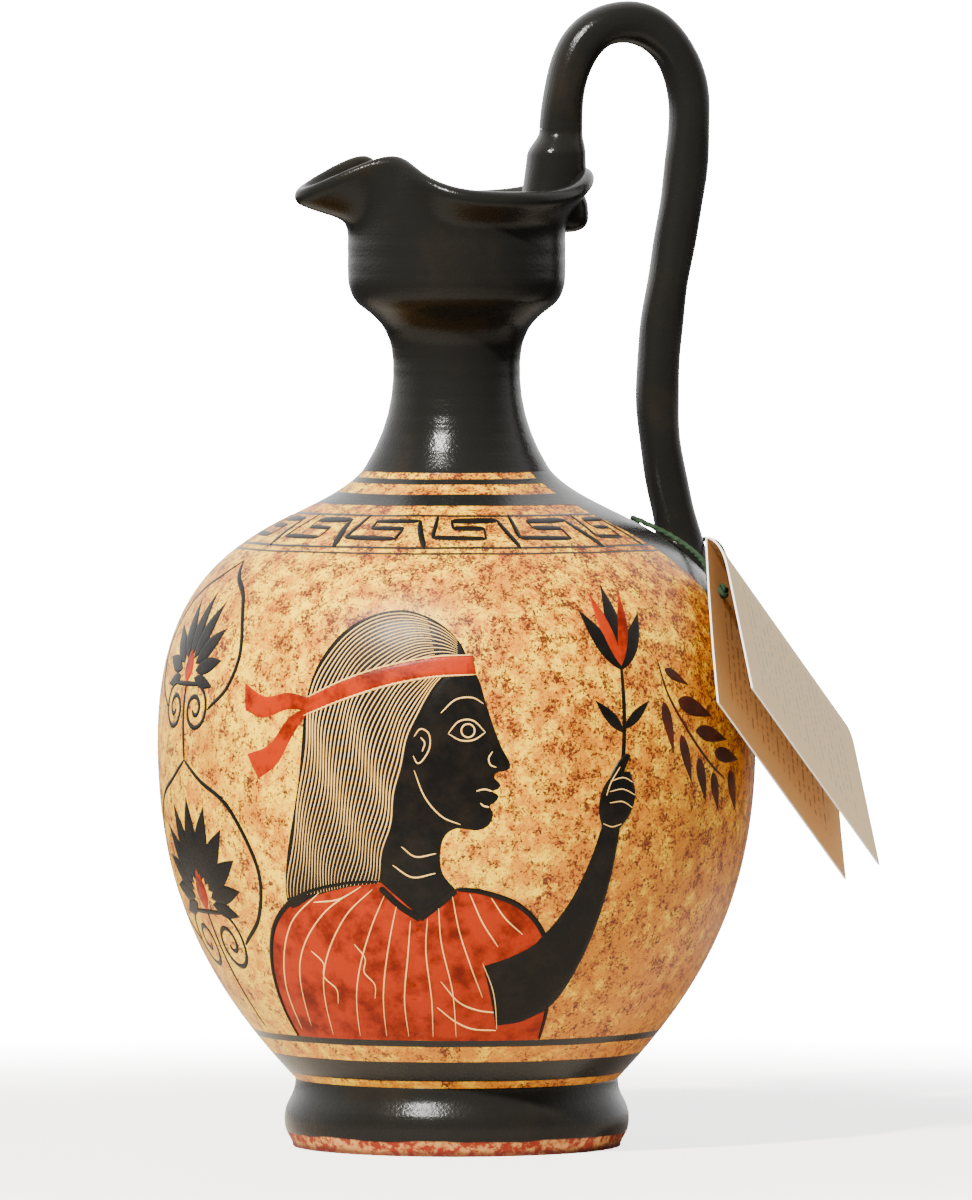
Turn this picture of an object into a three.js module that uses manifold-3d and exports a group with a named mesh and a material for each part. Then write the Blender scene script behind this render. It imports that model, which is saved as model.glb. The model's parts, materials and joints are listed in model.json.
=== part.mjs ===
// A wheel-made pouring jug with a pinched mouth, a high looped handle and a folded card tag.
// Millimetres, +Z up. The origin is the centre of the flat face that the foot stands on.
// The spout points along -X and the handle stands along +X.
import * as THREE from 'three';
import { mergeVertices } from 'three/addons/utils/BufferGeometryUtils.js';
import Module from 'manifold-3d';

const wasm = await Module();
wasm.setup();

// Clearance
const CLEARANCE = 0.3; // luted and folded pieces keep this much air between them

// Facets: steps round each turned piece and bands along each curve
const TURN_STEPS = 44;
const MOUTH_STEPS = 60;
const BELLY_BANDS = 11;
const NECK_BANDS = 5;
const CUP_BANDS = 4;
const LIP_BANDS = 6;
const FOOT_BANDS = 6;
const ROLL_SIDES = 16;
const HANDLE_BANDS = 36;
const SADDLE_BANDS = 10;
const LEAF_BANDS = 10;
const ROOT_BANDS = 8;
const CORD_STEPS = 48;
const CORD_SIDES = 8;

// Wall of the vessel
const WALL = 4.5;
const FOOT_REST_RADIUS = 40.2;
const FOOT_BULGE_RADIUS = 42.3;
const FOOT_BULGE_HEIGHT = 6.4;
const FOOT_HEIGHT = 16.6;
const FOOT_FLOOR = 7;
const FOOT_HOLLOW_RADIUS = 22; // flat part of the hollow inside the foot
const WAIST_RADIUS = 39.6;
const BELLY_RADIUS = 73.4;
const BELLY_RISE = 82.8; // waist to the widest ring
const SHOULDER_RISE = 66.2; // widest ring to the foot of the neck
const NECK_FOOT_RADIUS = 23.1;
const NECK_RISE = 24.6; // foot of the neck to its slimmest ring
const NECK_RADIUS = 15.6;
const FLARE_RISE = 14.7; // slimmest ring to the foot of the cup
const NECK_SEAM_DROP = 4.5; // the cup is luted on this far below its foot
const CUP_FOOT_RADIUS = 22.2;
const CUP_RADIUS = 26.7;
const CUP_ROUND = 9.6; // height of the rounded corner of the cup
const CUP_SIDE = 8; // upright side of the cup, up to where the lip bends out

// Fullness of the wall's curves: how each leaves its rings, in degrees and millimetres
const WAIST_LEAN = 46.3;
const WAIST_PULL = 31;
const BELLY_PULL_DOWN = 37.2;
const BELLY_PULL_UP = 54.4;
const SHOULDER_LEAN = 48.8;
const SHOULDER_PULL = 19.6;
const NECK_FOOT_LEAN = 57.2;
const NECK_FOOT_PULL = 6.6;
const NECK_PULL = 11;
const FLARE_PULL = 5.4;
const CUP_FOOT_LEAN = 34.8;
const CUP_FOOT_PULL = 7.2;
const CUP_PULL = 5.5;

// Lip: reach from the axis and height over the cup's side, with its pinched folds
const LIP_RADIUS = 32;
const LIP_RISE = 9.2;
const SPOUT_REACH = 13.2;
const SPOUT_DROP = 5.1;
const SPOUT_SPREAD = 25; // degrees
const PINCH_ANGLE = 32; // degrees on either side of the spout
const PINCH_DEPTH = 7;
const PINCH_RISE = 9.5;
const PINCH_SPREAD = 30; // degrees
const BACK_REACH = 2;
const BACK_RISE = 6;
const BACK_SPREAD = 24; // degrees
const LIP_PULL = 0.45; // roundness of the lip's bend, as a share of its span
const LIP_FLATNESS = 1.6; // how much flatter the lip ends than its span leans

// Handle: an oval roll of clay, pressed on to the lip and on to the shoulder
const HANDLE_THICKNESS = 10;
const HANDLE_WIDTH = 12;
const HANDLE_SEAT = 1.2; // how far outside the cup's side the roll stands on the lip
const HANDLE_SINK = 9.5; // how far below the rim its centre line starts
const LOOP_RISE = 37.8; // rim to the top of the centre line
const LOOP_PEAK_OUT = 15.2;
const LOOP_OUT = 31.3; // lip to the outermost point of the loop
const LOOP_FALL = 21.4; // top of the loop to its outermost point
const LOOP_LEAVE_PULL = 28.4; // stiffness of the roll as it leaves the lip
const LOOP_LEAN_IN = 3.9; // lean over the mouth as it leaves
const PEAK_PULL = 15.5; // flatness of the top, towards the mouth
const GRIP_FALL = 71; // outermost point to the slim bend above the root
const GRIP_IN = 8.1; // how far that bend swings back in
const GRIP_PULL = 25.6; // straightness of the grip below its outermost point
const BEND_PULL = 28.4; // straightness of the grip above the slim bend
const ROOT_PULL = 13.3; // roundness of the last bend down to the root
const ROOT_LEAN_IN = 3.3;
const ROOT_DROP = 22.4; // foot of the neck to the root on the shoulder
const SADDLE_LENGTH = 21;
const SADDLE_SWELL = 2.6; // thumb-pressed pad at the lip, over half the roll's thickness
const SADDLE_INWARD = 1.6; // lean of that pad into the cup
const SADDLE_SPREAD = 2.2; // the same, over half the roll's width
const SADDLE_FULLNESS = 2.2; // above 1, the pad stays full longer on its way up from the cup
const LUG_WIDTH = 11;
const LUG_HEIGHT = 13.5;
const LUG_REACH = 6.6; // how far the tail of the handle stands out under the lip
const LUG_DROP = 9.5; // rim to the middle of the tail
const ROOT_LENGTH = 15;
const ROOT_SPREAD = 1.32; // growth of the roll's section where it meets the shoulder
const ROOT_SINK = 4; // end of the root pad inside the wall before it is cut to the wall

// Tag: a folded card that hangs by its corner and leans on the belly
const CARD_LENGTH = 82;
const CARD_WIDTH = 50;
const CARD_THICKNESS = 0.5;
const FOLD_OPENING = 7.5; // degrees, how far the leaves stand apart below the fold
const FOLD_SPRING = 48; // degrees, how much wider the outer leaf springs off at the fold
const FOLD_SPRUNG = 17; // length of the leaf over which it comes round to its straight run
const FOLD_STIFFNESS = 3; // above 1, it comes round sooner
const CARD_FACING = -32.8; // degrees from the handle, round the axis
const CARD_TILT = 15.3; // degrees, lean of the card on the belly
const CARD_SPIN = -35.6; // degrees, fall of the fold in the card's own plane
const CARD_CORNER_RISE = 6.6; // hung corner over the root of the handle
const CARD_OFF_BELLY = 0.6;
const HOLE_RADIUS = 1.3;
const HOLE_ALONG = 7; // hung corner to the hole, along the fold
const HOLE_DOWN = 12; // fold to the hole
const CORD_DIAMETER = 1.4;
const KNOT_RADIUS = 2.1;
const KNOT_HEIGHT = 1.9;

const degrees = THREE.MathUtils.degToRad;
const point = (radius, height) => new THREE.Vector2(radius, height);

// Heights of the rings, added up from the floor
const bellyHeight = FOOT_HEIGHT + BELLY_RISE;
const neckFootHeight = bellyHeight + SHOULDER_RISE;
const neckHeight = neckFootHeight + NECK_RISE;
const cupFootHeight = neckHeight + FLARE_RISE;
const neckSeamHeight = cupFootHeight - NECK_SEAM_DROP;
const cupHeight = cupFootHeight + CUP_ROUND;
const lipFootHeight = cupHeight + CUP_SIDE;
const rootHeight = neckFootHeight - ROOT_DROP;

// Points on a cubic curve from one ring to the next, leaving and arriving by the given arms
function sweepCurve(start, leave, arrive, end, steps) {
  const curve = new THREE.CubicBezierCurve(start, start.clone().add(leave), end.clone().add(arrive), end);
  return curve.getPoints(steps);
}

const arm = (lean, pull) => point(Math.cos(degrees(lean)) * pull, Math.sin(degrees(lean)) * pull);
const up = (pull) => point(0, pull);

// The outer wall from the waist to the top of the cup, seen in a half section
function outerWall() {
  const waist = point(WAIST_RADIUS, FOOT_HEIGHT);
  const belly = point(BELLY_RADIUS, bellyHeight);
  const neckFoot = point(NECK_FOOT_RADIUS, neckFootHeight);
  const neck = point(NECK_RADIUS, neckHeight);
  const cupFoot = point(CUP_FOOT_RADIUS, cupFootHeight);
  const cup = point(CUP_RADIUS, cupHeight);
  const shoulderArm = arm(-SHOULDER_LEAN, SHOULDER_PULL);
  const neckFootArm = arm(180 - NECK_FOOT_LEAN, NECK_FOOT_PULL);
  const lower = sweepCurve(waist, arm(WAIST_LEAN, WAIST_PULL), up(-BELLY_PULL_DOWN), belly, BELLY_BANDS);
  const upper = sweepCurve(belly, up(BELLY_PULL_UP), shoulderArm, neckFoot, BELLY_BANDS);
  const throat = sweepCurve(neckFoot, neckFootArm, up(-NECK_PULL), neck, NECK_BANDS);
  const flareArm = arm(180 + CUP_FOOT_LEAN, CUP_FOOT_PULL);
  const cupFootArm = arm(CUP_FOOT_LEAN, CUP_FOOT_PULL / 2);
  const flare = sweepCurve(neck, up(FLARE_PULL), flareArm, cupFoot, CUP_BANDS);
  const corner = sweepCurve(cupFoot, cupFootArm, up(-CUP_PULL), cup, CUP_BANDS);
  const rim = point(CUP_RADIUS, lipFootHeight);
  return [...lower, ...upper.slice(1), ...throat.slice(1), ...flare.slice(1), ...corner.slice(1), rim];
}

// The same line moved off the wall: positive distances go outward
function offsetLine(line, distance) {
  return line.map((here, index) => {
    const before = line[Math.max(index - 1, 0)];
    const after = line[Math.min(index + 1, line.length - 1)];
    const along = after.clone().sub(before).normalize();
    return point(here.x + along.y * distance, here.y - along.x * distance);
  });
}

// Radius of a rising line at a height, carried on straight past its ends
function radiusAt(line, height) {
  const next = line.findIndex((here) => here.y > height);
  const last = next < 0 ? line.length - 1 : Math.max(next, 1);
  const low = line[last - 1];
  const high = line[last];
  return low.x + ((high.x - low.x) * (height - low.y)) / (high.y - low.y);
}

// The stretch of a rising line between two heights, cut square at both
function stretch(line, low, high) {
  const shortest = WALL / 10;
  const inside = line.filter((here) => here.y > low + shortest && here.y < high - shortest);
  return [point(radiusAt(line, low), low), ...inside, point(radiusAt(line, high), high)];
}

// The inside is smooth and hidden, so it keeps every second point of the outside
const hollowOf = (line, wall) => offsetLine(line, -wall).filter((_, index) => index % 2 === 0);

const wallOutside = outerWall();
const wallInside = hollowOf(wallOutside, WALL);
const wallGrown = offsetLine(wallOutside, CLEARANCE);

// A turned solid from a half section that runs anticlockwise
function turned(section) {
  const geometry = new THREE.LatheGeometry(section, TURN_STEPS);
  return geometry.rotateX(Math.PI / 2);
}

// A closed grid of rings: each joins the next, ends are capped unless the rings come round again
function skin(rings, comesRound) {
  const count = rings[0].length;
  const positions = rings.flat().flatMap((corner) => [corner.x, corner.y, corner.z]);
  const faces = [];
  const bands = comesRound ? rings.length : rings.length - 1;
  for (let band = 0; band < bands; band += 1) {
    const near = band * count;
    const far = ((band + 1) % rings.length) * count;
    for (let side = 0; side < count; side += 1) {
      const next = (side + 1) % count;
      faces.push(near + side, near + next, far + side);
      faces.push(near + next, far + next, far + side);
    }
  }
  if (!comesRound) {
    const lastRing = (rings.length - 1) * count;
    for (let side = 1; side < count - 1; side += 1) {
      faces.push(0, side + 1, side);
      faces.push(lastRing, lastRing + side, lastRing + side + 1);
    }
  }
  const geometry = new THREE.BufferGeometry();
  geometry.setAttribute('position', new THREE.Float32BufferAttribute(positions, 3));
  geometry.setIndex(faces);
  return geometry;
}

// Solids for cutting and joining
function solidOf(geometry) {
  const bare = geometry.clone();
  bare.deleteAttribute('normal');
  bare.deleteAttribute('uv');
  const merged = mergeVertices(bare, 1e-4);
  const vertProperties = new Float32Array(merged.attributes.position.array);
  const triVerts = new Uint32Array(merged.index.array);
  return new wasm.Manifold(new wasm.Mesh({ numProp: 3, vertProperties, triVerts }));
}

function geometryOf(solid) {
  const mesh = solid.getMesh();
  const geometry = new THREE.BufferGeometry();
  geometry.setAttribute('position', new THREE.Float32BufferAttribute(mesh.vertProperties, 3));
  geometry.setIndex([...mesh.triVerts]);
  return geometry;
}

const cutAway = (geometry, tool) => geometryOf(solidOf(geometry).subtract(solidOf(tool)));

// Foot: a dished disc with a rounded edge, whose hollow is the floor of the vessel
function footGeometry() {
  const rest = point(FOOT_REST_RADIUS, 0);
  const bulge = point(FOOT_BULGE_RADIUS, FOOT_BULGE_HEIGHT);
  const waist = point(WAIST_RADIUS, FOOT_HEIGHT);
  const brim = point(radiusAt(wallInside, FOOT_HEIGHT), FOOT_HEIGHT);
  const floor = point(FOOT_HOLLOW_RADIUS, FOOT_FLOOR);
  const halfBulge = FOOT_BULGE_HEIGHT / 2;
  const halfFoot = (FOOT_HEIGHT - FOOT_BULGE_HEIGHT) / 2;
  const edge = sweepCurve(rest, up(halfBulge / 2), up(-halfBulge), bulge, FOOT_BANDS);
  const side = sweepCurve(bulge, up(halfFoot), up(-halfFoot), waist, FOOT_BANDS);
  const brimArm = arm(180 + WAIST_LEAN, halfFoot);
  const dish = sweepCurve(brim, brimArm, point(halfFoot, 0), floor, FOOT_BANDS);
  return turned([point(0, 0), ...edge, ...side.slice(1), ...dish, point(0, FOOT_FLOOR)]);
}

// A turned stretch of the wall between two heights
function wallGeometry(low, high) {
  const outside = stretch(wallOutside, low, high);
  const inside = stretch(wallInside, low, high).reverse();
  return turned([...outside, ...inside, outside[0]]);
}

// Lip: reach and height of the rim round the mouth, from the handle round to the spout
const swell = (angle, spread) => Math.exp(-((angle / spread) ** 2));

function rimAt(turn) {
  const fromSpout = 180 - Math.abs(turn);
  const spout = swell(fromSpout, SPOUT_SPREAD);
  const nearPinch = swell(fromSpout - PINCH_ANGLE, PINCH_SPREAD);
  const farPinch = swell(fromSpout + PINCH_ANGLE, PINCH_SPREAD);
  const pinch = nearPinch + farPinch;
  const back = swell(turn, BACK_SPREAD);
  const reach = LIP_RADIUS + SPOUT_REACH * spout - PINCH_DEPTH * pinch + BACK_REACH * back;
  const rise = LIP_RISE - SPOUT_DROP * spout + PINCH_RISE * pinch + BACK_RISE * back;
  return point(reach - WALL / 2, lipFootHeight + rise);
}

// Half section of the mouth at one turn, as its outer line, its round rim and its inner line
function mouthSection(turn, grown) {
  const half = WALL / 2 + grown;
  const rim = rimAt(turn);
  const foot = point(CUP_RADIUS - WALL / 2, lipFootHeight);
  const span = rim.clone().sub(foot);
  const lean = Math.atan2(span.y, Math.max(span.x, 0) * LIP_FLATNESS);
  const pull = span.length() * LIP_PULL;
  const arrive = point(-Math.cos(lean) * pull, -Math.sin(lean) * pull);
  const folded = sweepCurve(foot, up(pull), arrive, rim, LIP_BANDS);
  const outer = offsetLine(folded, half).slice(1);
  const inner = offsetLine(folded, -half).slice(1);
  const start = Math.atan2(-Math.cos(lean), Math.sin(lean));
  const round = [1, 2, 3].map((step) => {
    const angle = start + (step * Math.PI) / 4;
    return point(rim.x + Math.cos(angle) * half, rim.y + Math.sin(angle) * half);
  });
  const cupOutside = offsetLine(wallOutside, grown);
  const cupInside = hollowOf(wallOutside, WALL + grown);
  const outside = [...stretch(cupOutside, neckSeamHeight, lipFootHeight), ...outer];
  const inside = [...stretch(cupInside, neckSeamHeight, lipFootHeight), ...inner];
  return { outside, round, inside };
}

function place(spot, angle) {
  return new THREE.Vector3(spot.x * Math.cos(angle), spot.x * Math.sin(angle), spot.y);
}

// A ring of half sections round the axis, each running anticlockwise
function roundTheAxis(sectionAt) {
  const rings = [];
  for (let step = 0; step < MOUTH_STEPS; step += 1) {
    const turn = (360 * step) / MOUTH_STEPS - 180;
    const section = sectionAt(turn).reverse();
    rings.push(section.map((spot) => place(spot, degrees(turn))));
  }
  return skin(rings, true);
}

function mouthGeometry() {
  return roundTheAxis((turn) => {
    const { outside, round, inside } = mouthSection(turn, 0);
    return [...outside, ...round, ...inside.reverse()];
  });
}

// Everything inside the mouth's outer face, and everything outside its inner face
function mouthCore() {
  const low = point(WALL, neckSeamHeight);
  return roundTheAxis((turn) => {
    const { outside, round } = mouthSection(turn, CLEARANCE);
    const top = round[round.length - 1];
    return [low, ...outside, ...round, point(WALL, top.y)];
  });
}

function mouthSurround() {
  const outerReach = LIP_RADIUS + LOOP_OUT;
  return roundTheAxis((turn) => {
    const { round, inside } = mouthSection(turn, CLEARANCE);
    const out = point(outerReach, round[0].y);
    const low = point(outerReach, neckSeamHeight);
    return [low, out, ...round, ...inside.reverse()];
  });
}

// Centre line of the handle, from inside the lip over the loop to inside the shoulder
const rimBack = rimAt(0);
const rootRadius = radiusAt(wallOutside, rootHeight);

function handleLine() {
  const flat = (x, z) => new THREE.Vector3(x, 0, z);
  const lipX = CUP_RADIUS + HANDLE_SEAT;
  const peakZ = rimBack.y + LOOP_RISE;
  const outerZ = peakZ - LOOP_FALL;
  const bendX = lipX + LOOP_OUT - GRIP_IN;
  const bendZ = outerZ - GRIP_FALL;
  const quarter = 0.5523; // arm of a quarter ellipse, as a share of its half axis
  const path = new THREE.CurvePath();
  const lip = flat(lipX, rimBack.y - HANDLE_SINK);
  const peak = flat(lipX + LOOP_PEAK_OUT, peakZ);
  const outermost = flat(lipX + LOOP_OUT, outerZ);
  const bend = flat(bendX, bendZ);
  const root = flat(rootRadius, rootHeight);
  const peakArm = (LOOP_OUT - LOOP_PEAK_OUT) * quarter;
  path.add(new THREE.CubicBezierCurve3(lip, flat(lipX - LOOP_LEAN_IN, lip.z + LOOP_LEAVE_PULL),
    flat(peak.x - PEAK_PULL, peakZ), peak));
  path.add(new THREE.CubicBezierCurve3(peak, flat(peak.x + peakArm, peakZ),
    flat(outermost.x, outerZ + LOOP_FALL * quarter), outermost));
  path.add(new THREE.CubicBezierCurve3(outermost, flat(outermost.x, outerZ - GRIP_PULL),
    flat(bendX, bendZ + BEND_PULL), bend));
  path.add(new THREE.CubicBezierCurve3(bend, flat(bendX, bendZ - ROOT_PULL),
    flat(root.x - ROOT_LEAN_IN, rootHeight + ROOT_PULL), root));
  return path;
}

const handlePath = handleLine();
const handleLength = handlePath.getLength();

// Oval section of the roll at a distance along its centre line
function rollSection(distance, halfThickness, halfWidth, inward) {
  const share = THREE.MathUtils.clamp(distance / handleLength, 0, 1);
  const nearby = 1e-3;
  const centre = handlePath.getPoint(share);
  const ahead = handlePath.getPoint(Math.min(share + nearby, 1));
  const behind = handlePath.getPoint(Math.max(share - nearby, 0));
  const along = ahead.sub(behind).normalize();
  const across = new THREE.Vector3(0, 1, 0);
  const outward = across.clone().cross(along);
  centre.addScaledVector(along, distance - share * handleLength);
  centre.addScaledVector(outward, -inward);
  return Array.from({ length: ROLL_SIDES }, (_, side) => {
    const angle = (2 * Math.PI * side) / ROLL_SIDES;
    return centre.clone()
      .addScaledVector(outward, Math.cos(angle) * halfThickness)
      .addScaledVector(across, Math.sin(angle) * halfWidth);
  });
}

function roll(from, to, steps, shapeAt) {
  const rings = [];
  for (let step = 0; step <= steps; step += 1) {
    const share = step / steps;
    const { thickness, width, inward } = shapeAt(share);
    rings.push(rollSection(from + (to - from) * share, thickness / 2, width / 2, inward));
  }
  return skin(rings, false);
}

const plainRoll = () => ({ thickness: HANDLE_THICKNESS, width: HANDLE_WIDTH, inward: 0 });

function handleGeometry() {
  const low = handleLength - ROOT_LENGTH - CLEARANCE;
  return roll(SADDLE_LENGTH + CLEARANCE, low, HANDLE_BANDS, plainRoll);
}

// Saddle: the thumb-pressed end of the roll, swollen into the cup and seated on the lip
function saddleGeometry() {
  const pressed = roll(0, SADDLE_LENGTH, SADDLE_BANDS, (share) => {
    const pad = Math.cos((Math.PI / 2) * share ** SADDLE_FULLNESS) ** 2;
    const thickness = HANDLE_THICKNESS + 2 * SADDLE_SWELL * pad;
    const width = HANDLE_WIDTH + 2 * SADDLE_SPREAD * pad;
    return { thickness, width, inward: SADDLE_INWARD * pad };
  });
  return cutAway(pressed, mouthSurround());
}

// Lug: the tail of the handle, pressed up against the cup under the lip
function lugGeometry() {
  const lump = new THREE.SphereGeometry(0.5, 20, 14);
  lump.scale(2 * LUG_REACH, LUG_WIDTH, LUG_HEIGHT);
  lump.translate(CUP_RADIUS, 0, rimBack.y - LUG_DROP);
  return cutAway(lump, mouthCore());
}

// Root pad: the lower end of the roll, spread on the shoulder
function rootGeometry() {
  const top = handleLength - ROOT_LENGTH;
  const pressed = roll(top, handleLength + ROOT_SINK, ROOT_BANDS, (share) => {
    const growth = 1 + (ROOT_SPREAD - 1) * share ** 2;
    return { thickness: HANDLE_THICKNESS * growth, width: HANDLE_WIDTH * growth, inward: 0 };
  });
  const shoulder = stretch(wallGrown, bellyHeight, neckFootHeight);
  return cutAway(pressed, turned([point(0, bellyHeight), ...shoulder, point(0, neckFootHeight)]));
}

// Tag frame: X off the belly, Y along the fold, -Z down the leaf, origin at the hung corner
function tagFrame() {
  const tilt = degrees(CARD_TILT);
  const facing = degrees(CARD_FACING);
  const lean = point(Math.cos(tilt), Math.sin(tilt));
  const touch = Math.max(...wallOutside.map((spot) => spot.dot(lean)));
  const off = touch + CARD_OFF_BELLY + CARD_THICKNESS;
  const cornerHeight = rootHeight + CARD_CORNER_RISE;
  const climb = (cornerHeight - off * lean.y) / lean.x;
  const outward = off * lean.x - climb * lean.y;
  const frame = new THREE.Group();
  frame.position.set(outward * Math.cos(facing), outward * Math.sin(facing), cornerHeight);
  frame.rotation.set(degrees(CARD_SPIN), -tilt, facing, 'ZYX');
  return frame;
}

// Directions of the card in the tag's frame
const offBelly = new THREE.Vector3(1, 0, 0);
const alongFold = new THREE.Vector3(0, 1, 0);
const upLeaf = new THREE.Vector3(0, 0, 1);

// Inner leaf: a thin flat plate that starts just off the fold, with the hole for the cord
function innerLeafGeometry() {
  const outline = new THREE.Shape();
  outline.moveTo(0, -CLEARANCE);
  outline.lineTo(0, -CARD_WIDTH);
  outline.lineTo(CARD_LENGTH, -CARD_WIDTH);
  outline.lineTo(CARD_LENGTH, -CLEARANCE);
  outline.closePath();
  const hole = new THREE.Path();
  hole.absarc(HOLE_ALONG, -HOLE_DOWN, HOLE_RADIUS, 0, 2 * Math.PI, true);
  outline.holes.push(hole);
  const sheet = { depth: CARD_THICKNESS, bevelEnabled: false, curveSegments: 8 };
  const plate = new THREE.ExtrudeGeometry(outline, sheet);
  plate.applyMatrix4(new THREE.Matrix4().makeBasis(alongFold, upLeaf, offBelly));
  return plate.translate(-CARD_THICKNESS, 0, 0);
}

// Outer leaf: springs off at the fold and comes round to a straight run that stands off the inner leaf
function outerLeafGeometry() {
  const middle = [point(CLEARANCE + CARD_THICKNESS / 2, -CLEARANCE)];
  const run = (lean, length) => {
    const last = middle[middle.length - 1];
    middle.push(point(last.x + Math.sin(lean) * length, last.y - Math.cos(lean) * length));
  };
  for (let band = 0; band < LEAF_BANDS; band += 1) {
    const left = 1 - (band + 0.5) / LEAF_BANDS;
    run(degrees(FOLD_OPENING + FOLD_SPRING * left ** FOLD_STIFFNESS), FOLD_SPRUNG / LEAF_BANDS);
  }
  run(degrees(FOLD_OPENING), CARD_WIDTH - CLEARANCE - FOLD_SPRUNG);
  const outside = offsetLine(middle, CARD_THICKNESS / 2);
  const inside = offsetLine(middle, -CARD_THICKNESS / 2);
  const section = new THREE.Shape([...outside, ...inside.reverse()]);
  const sheet = new THREE.ExtrudeGeometry(section, { depth: CARD_LENGTH, bevelEnabled: false });
  const downFold = alongFold.clone().negate();
  sheet.applyMatrix4(new THREE.Matrix4().makeBasis(offBelly, upLeaf, downFold));
  return sheet.translate(0, CARD_LENGTH, 0);
}

// Knot: a flattened lump inside the fold, on a stem of cord that fills the hole
function knotGeometry() {
  const stem = CORD_DIAMETER / 2;
  const half = KNOT_HEIGHT / 2;
  const lump = sweepCurve(point(stem, CLEARANCE), point(KNOT_RADIUS - stem, 0), up(-half / 2),
    point(KNOT_RADIUS, CLEARANCE + half), 3);
  const crown = sweepCurve(point(KNOT_RADIUS, CLEARANCE + half), up(half / 2), point(half, 0),
    point(0, CLEARANCE + KNOT_HEIGHT), 4);
  const section = [point(0, -CARD_THICKNESS), point(stem, -CARD_THICKNESS), ...lump, ...crown.slice(1)];
  const geometry = new THREE.LatheGeometry(section, 12);
  return geometry.rotateZ(-Math.PI / 2);
}

// Cord: from the hole in the card round the root of the handle and back, lying on the shoulder
const CORD_ROUTE = [
  [53.7, -38.5, 136], [54.8, -33, 139.8], [55.2, -27.5, 143.2], [54.6, -18, 146.3], [51.5, -9.6, 149.6],
  [47.2, -5, 152.2], [44.9, 0, 153.6], [47.2, 5, 152.2], [51.3, 9.6, 149.3], [58.5, 10.3, 147],
  [63.6, 5.5, 148], [65.1, -4, 147.4], [64.5, -13.5, 144.2], [62.6, -19, 142.4], [60.2, -24.5, 140.4],
  [55.9, -34.4, 135.7],
];

function cordGeometry() {
  const path = new THREE.CatmullRomCurve3(CORD_ROUTE.map((spot) => new THREE.Vector3(...spot)));
  const section = new THREE.Shape();
  section.absarc(0, 0, CORD_DIAMETER / 2, 0, 2 * Math.PI);
  const strand = { steps: CORD_STEPS, curveSegments: CORD_SIDES / 2, extrudePath: path, bevelEnabled: false };
  return new THREE.ExtrudeGeometry(section, strand);
}

// Colours of the fired slip, the clay and the tag
const blackSlip = { color: 0x231e1a, roughness: 0.32, metalness: 0 };
const paleClay = { color: 0xe6c08a, roughness: 0.5, metalness: 0 };
const cardStock = { color: 0xe0cfb4, roughness: 0.8, metalness: 0 };
const greenCord = { color: 0x24402a, roughness: 0.85, metalness: 0 };

function piece(name, geometry, look) {
  const mesh = new THREE.Mesh(geometry, new THREE.MeshStandardMaterial(look));
  mesh.name = name;
  return mesh;
}

const jug = new THREE.Group();
jug.add(piece('foot', footGeometry(), blackSlip));
jug.add(piece('body', wallGeometry(FOOT_HEIGHT, neckFootHeight), paleClay));
jug.add(piece('neck', wallGeometry(neckFootHeight, neckSeamHeight), blackSlip));
jug.add(piece('mouth', mouthGeometry(), blackSlip));
jug.add(piece('handle', handleGeometry(), blackSlip));
jug.add(piece('handle_lip_saddle', saddleGeometry(), blackSlip));
jug.add(piece('handle_lip_lug', lugGeometry(), blackSlip));
jug.add(piece('handle_root_pad', rootGeometry(), blackSlip));
jug.add(piece('tag_cord', cordGeometry(), greenCord));

const tag = tagFrame();
const knot = piece('tag_knot', knotGeometry(), greenCord);
knot.position.set(0, HOLE_ALONG, -HOLE_DOWN);
tag.add(knot);
tag.add(piece('tag_inner_leaf', innerLeafGeometry(), cardStock));
tag.add(piece('tag_outer_leaf', outerLeafGeometry(), cardStock));
jug.add(tag);

export default jug;
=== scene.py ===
# %% [markdown]
# # A painted pouring jug
# The jug is thrown on a wheel in four parts, foot, belly, neck and mouth, and gets a pulled handle, a coat
# of black slip, a sponged and painted belly, and a folded card on a cord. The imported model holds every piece
# at its real place and size. Each cell makes one piece or finish over that frame and prints what it made.

# %% The frame
import json
import math

import bmesh
import bpy
import numpy as np
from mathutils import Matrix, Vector


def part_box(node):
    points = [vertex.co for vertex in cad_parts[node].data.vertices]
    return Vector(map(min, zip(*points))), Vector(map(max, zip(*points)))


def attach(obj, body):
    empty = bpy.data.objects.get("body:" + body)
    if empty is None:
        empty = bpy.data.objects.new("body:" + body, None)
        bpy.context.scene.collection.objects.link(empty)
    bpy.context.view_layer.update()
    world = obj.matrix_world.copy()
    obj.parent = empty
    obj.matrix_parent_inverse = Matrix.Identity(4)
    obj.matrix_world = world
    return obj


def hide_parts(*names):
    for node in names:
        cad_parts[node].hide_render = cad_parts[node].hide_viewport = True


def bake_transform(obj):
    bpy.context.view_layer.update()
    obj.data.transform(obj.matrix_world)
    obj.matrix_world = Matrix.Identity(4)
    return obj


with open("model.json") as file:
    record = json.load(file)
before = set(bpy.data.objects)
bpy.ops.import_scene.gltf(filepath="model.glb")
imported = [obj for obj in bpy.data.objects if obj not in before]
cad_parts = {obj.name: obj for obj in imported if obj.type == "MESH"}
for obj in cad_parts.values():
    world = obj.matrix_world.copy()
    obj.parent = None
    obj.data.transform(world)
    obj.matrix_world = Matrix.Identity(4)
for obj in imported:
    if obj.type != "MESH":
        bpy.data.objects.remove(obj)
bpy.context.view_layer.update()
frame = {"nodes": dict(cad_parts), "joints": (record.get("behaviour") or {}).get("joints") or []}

MM = 0.001

# %% [markdown]
# ## Camera
# The jug stands a few steps away and is seen with a long lens, a little from the spout's side, so its foot
# and mouth look almost flat. A long lens far off gives that; a short one near by would bow the bands.

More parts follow.
